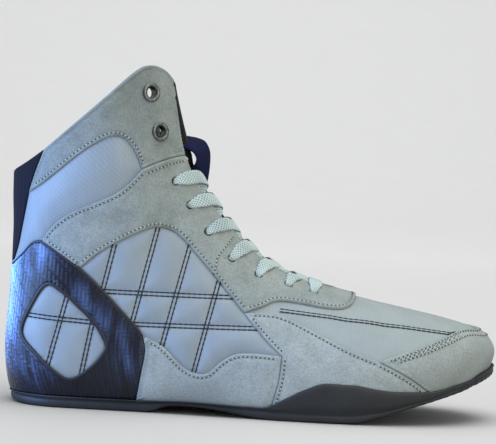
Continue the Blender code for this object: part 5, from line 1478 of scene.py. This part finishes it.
# Studio: pale sweep, a broad neutral key, a cool side light from the heel, camera at the photo's angle
studio = {"eye": (141.0, -1300.0, 174.0), "aim": (141.0, 0.0, 111.2), "roll": 2.6, "lens": 159.1,
          "world": "#F5F6F8", "worldPower": 0.68, "paperFront": 0.68,
          "paper": {"front": -30.0, "flat": 2.4, "bend": 1.6, "half": 30.0, "wall": 9.0},  # in metres
          "lampsAim": (110.0, 0.0, 80.0),
          "lamps": {
              "key": {"at": (700, -720, 300), "power": 5.2, "size": 0.7, "tint": "#FFFCF2",
                      "spares": ("paperSweep",)},
              "cool": {"at": (-270, -150, 150), "power": 3.4, "size": 0.3, "tint": "#8CB6FF",
                       "spares": ("paperSweep", "grommet")},
              "rim": {"at": (-420, 330, 130), "power": 16.0, "size": 0.5, "tint": "#72A6FF",
                      "only": ("counter",)},
              "top": {"at": (220, -150, 1200), "power": 13.0, "size": 1.2, "tint": "#FFFFFF"},
              "sweep": {"at": (140, 2000, 2400), "power": 19.0, "size": 1.6, "tint": "#FFFFFF",
                        "to": (140, 3300, 200)}}}
floor = bpy.data.meshes.new("paperSweep")
bend = np.linspace(0, 0.5 * math.pi, 24)
front, flat, curl, side, wall = studio["paper"].values()
ys = np.concatenate([np.linspace(front, flat, 16), flat + curl * np.sin(bend)[1:], [flat + curl]])
zs = np.concatenate([np.zeros(16), curl * (1 - np.cos(bend))[1:], [wall]])
floor.from_pydata([(x, y, z) for y, z in zip(ys, zs) for x in (-side, side)], [],
                  [(2 * i, 2 * i + 1, 2 * i + 3, 2 * i + 2) for i in range(len(ys) - 1)])
floor.polygons.foreach_set("use_smooth", np.ones(len(floor.polygons), bool))
# Paper, calendered: plain and matt, with a faint fibre tone, graded from mid grey in front to pale at the back
paper, tree, shader = material("paperCalendered", **{"Roughness": 0.95, "Specular IOR Level": 0.1})
place = node(tree, "TexCoord").outputs["Object"]
tone = node(tree, "TexNoise", {"Vector": place, "Scale": perMm(60), "Detail": 2.0})
ramp = node(tree, "ValToRGB", {"Fac": tone.outputs["Fac"]}, ((0, "#E8E8E7"), (1, "#EBEBEA")))
back = node(tree, "SeparateXYZ", {"Vector": place}).outputs["Y"]
grade = node(tree, "MapRange", {"Value": back, "From Min": 0.1, "From Max": 1.5,
                                "To Min": studio["paperFront"], "To Max": 1.0})
graded = node(tree, "HueSaturation", {"Color": ramp.outputs["Color"], "Value": grade.outputs["Result"]})
feed(shader, {"Base Color": graded.outputs["Color"]})
floor.materials.append(paper)
sweep = bpy.data.objects.new("paperSweep", floor)
scene.collection.objects.link(sweep)

world = bpy.data.worlds.new("softRoom")
world.use_nodes = True
feed(world.node_tree.nodes["Background"], {"Color": linear(studio["world"]), "Strength": studio["worldPower"]})
scene.world = world
for name, facts in studio["lamps"].items():
    lamp = bpy.data.lights.new(name + "Light", "AREA")
    lamp.energy, lamp.size, lamp.color = facts["power"], facts["size"], linear(facts["tint"])[:3]
    held = bpy.data.objects.new(name + "Light", lamp)
    held.location = (np.array(facts["at"], float) + shift) * mm
    aim = Vector((np.array(facts.get("to", studio["lampsAim"])) + shift) * mm) - held.location
    held.rotation_euler = aim.to_track_quat("-Z", "Y").to_euler()
    held.visible_diffuse = "only" not in facts
    aimed = [o for o in scene.objects if o.name.startswith(facts.get("only", facts.get("spares", ())))]
    if aimed:  # a flag keeps a lamp on some pieces or off others
        flag = bpy.data.collections.new(name + "Flag")
        for piece in aimed:
            flag.objects.link(piece)
        for item in flag.collection_objects:
            item.light_linking.link_state = "INCLUDE" if "only" in facts else "EXCLUDE"
        held.light_linking.receiver_collection = flag
    scene.collection.objects.link(held)

eye, aim = (np.array(studio[k]) + shift for k in ("eye", "aim"))
ahead = unit(aim - eye)
right = unit(np.cross(ahead, (0.0, 0.0, 1.0)))
up = np.cross(right, ahead)
roll = math.radians(studio["roll"])
right, up = right * math.cos(roll) + up * math.sin(roll), up * math.cos(roll) - right * math.sin(roll)
camera = bpy.data.cameras.new("photoCamera")
camera.sensor_fit, camera.sensor_width, camera.lens = "HORIZONTAL", 36.0, studio["lens"]
camera.clip_start, camera.clip_end = 0.05, 80.0
viewer = bpy.data.objects.new("photoCamera", camera)
matrix = np.eye(4)
matrix[:3, 0], matrix[:3, 1], matrix[:3, 2], matrix[:3, 3] = right, up, -ahead, eye * mm
viewer.matrix_world = Matrix(matrix.tolist())
scene.collection.objects.link(viewer)
scene.camera = viewer
scene.view_settings.view_transform = "Standard"

made = [o for o in scene.objects if o.type == "MESH" and o.name not in frame["nodes"]]
print("pieces:", len(made), "triangles:", sum(len(p.vertices) - 2 for o in made for p in o.data.polygons))
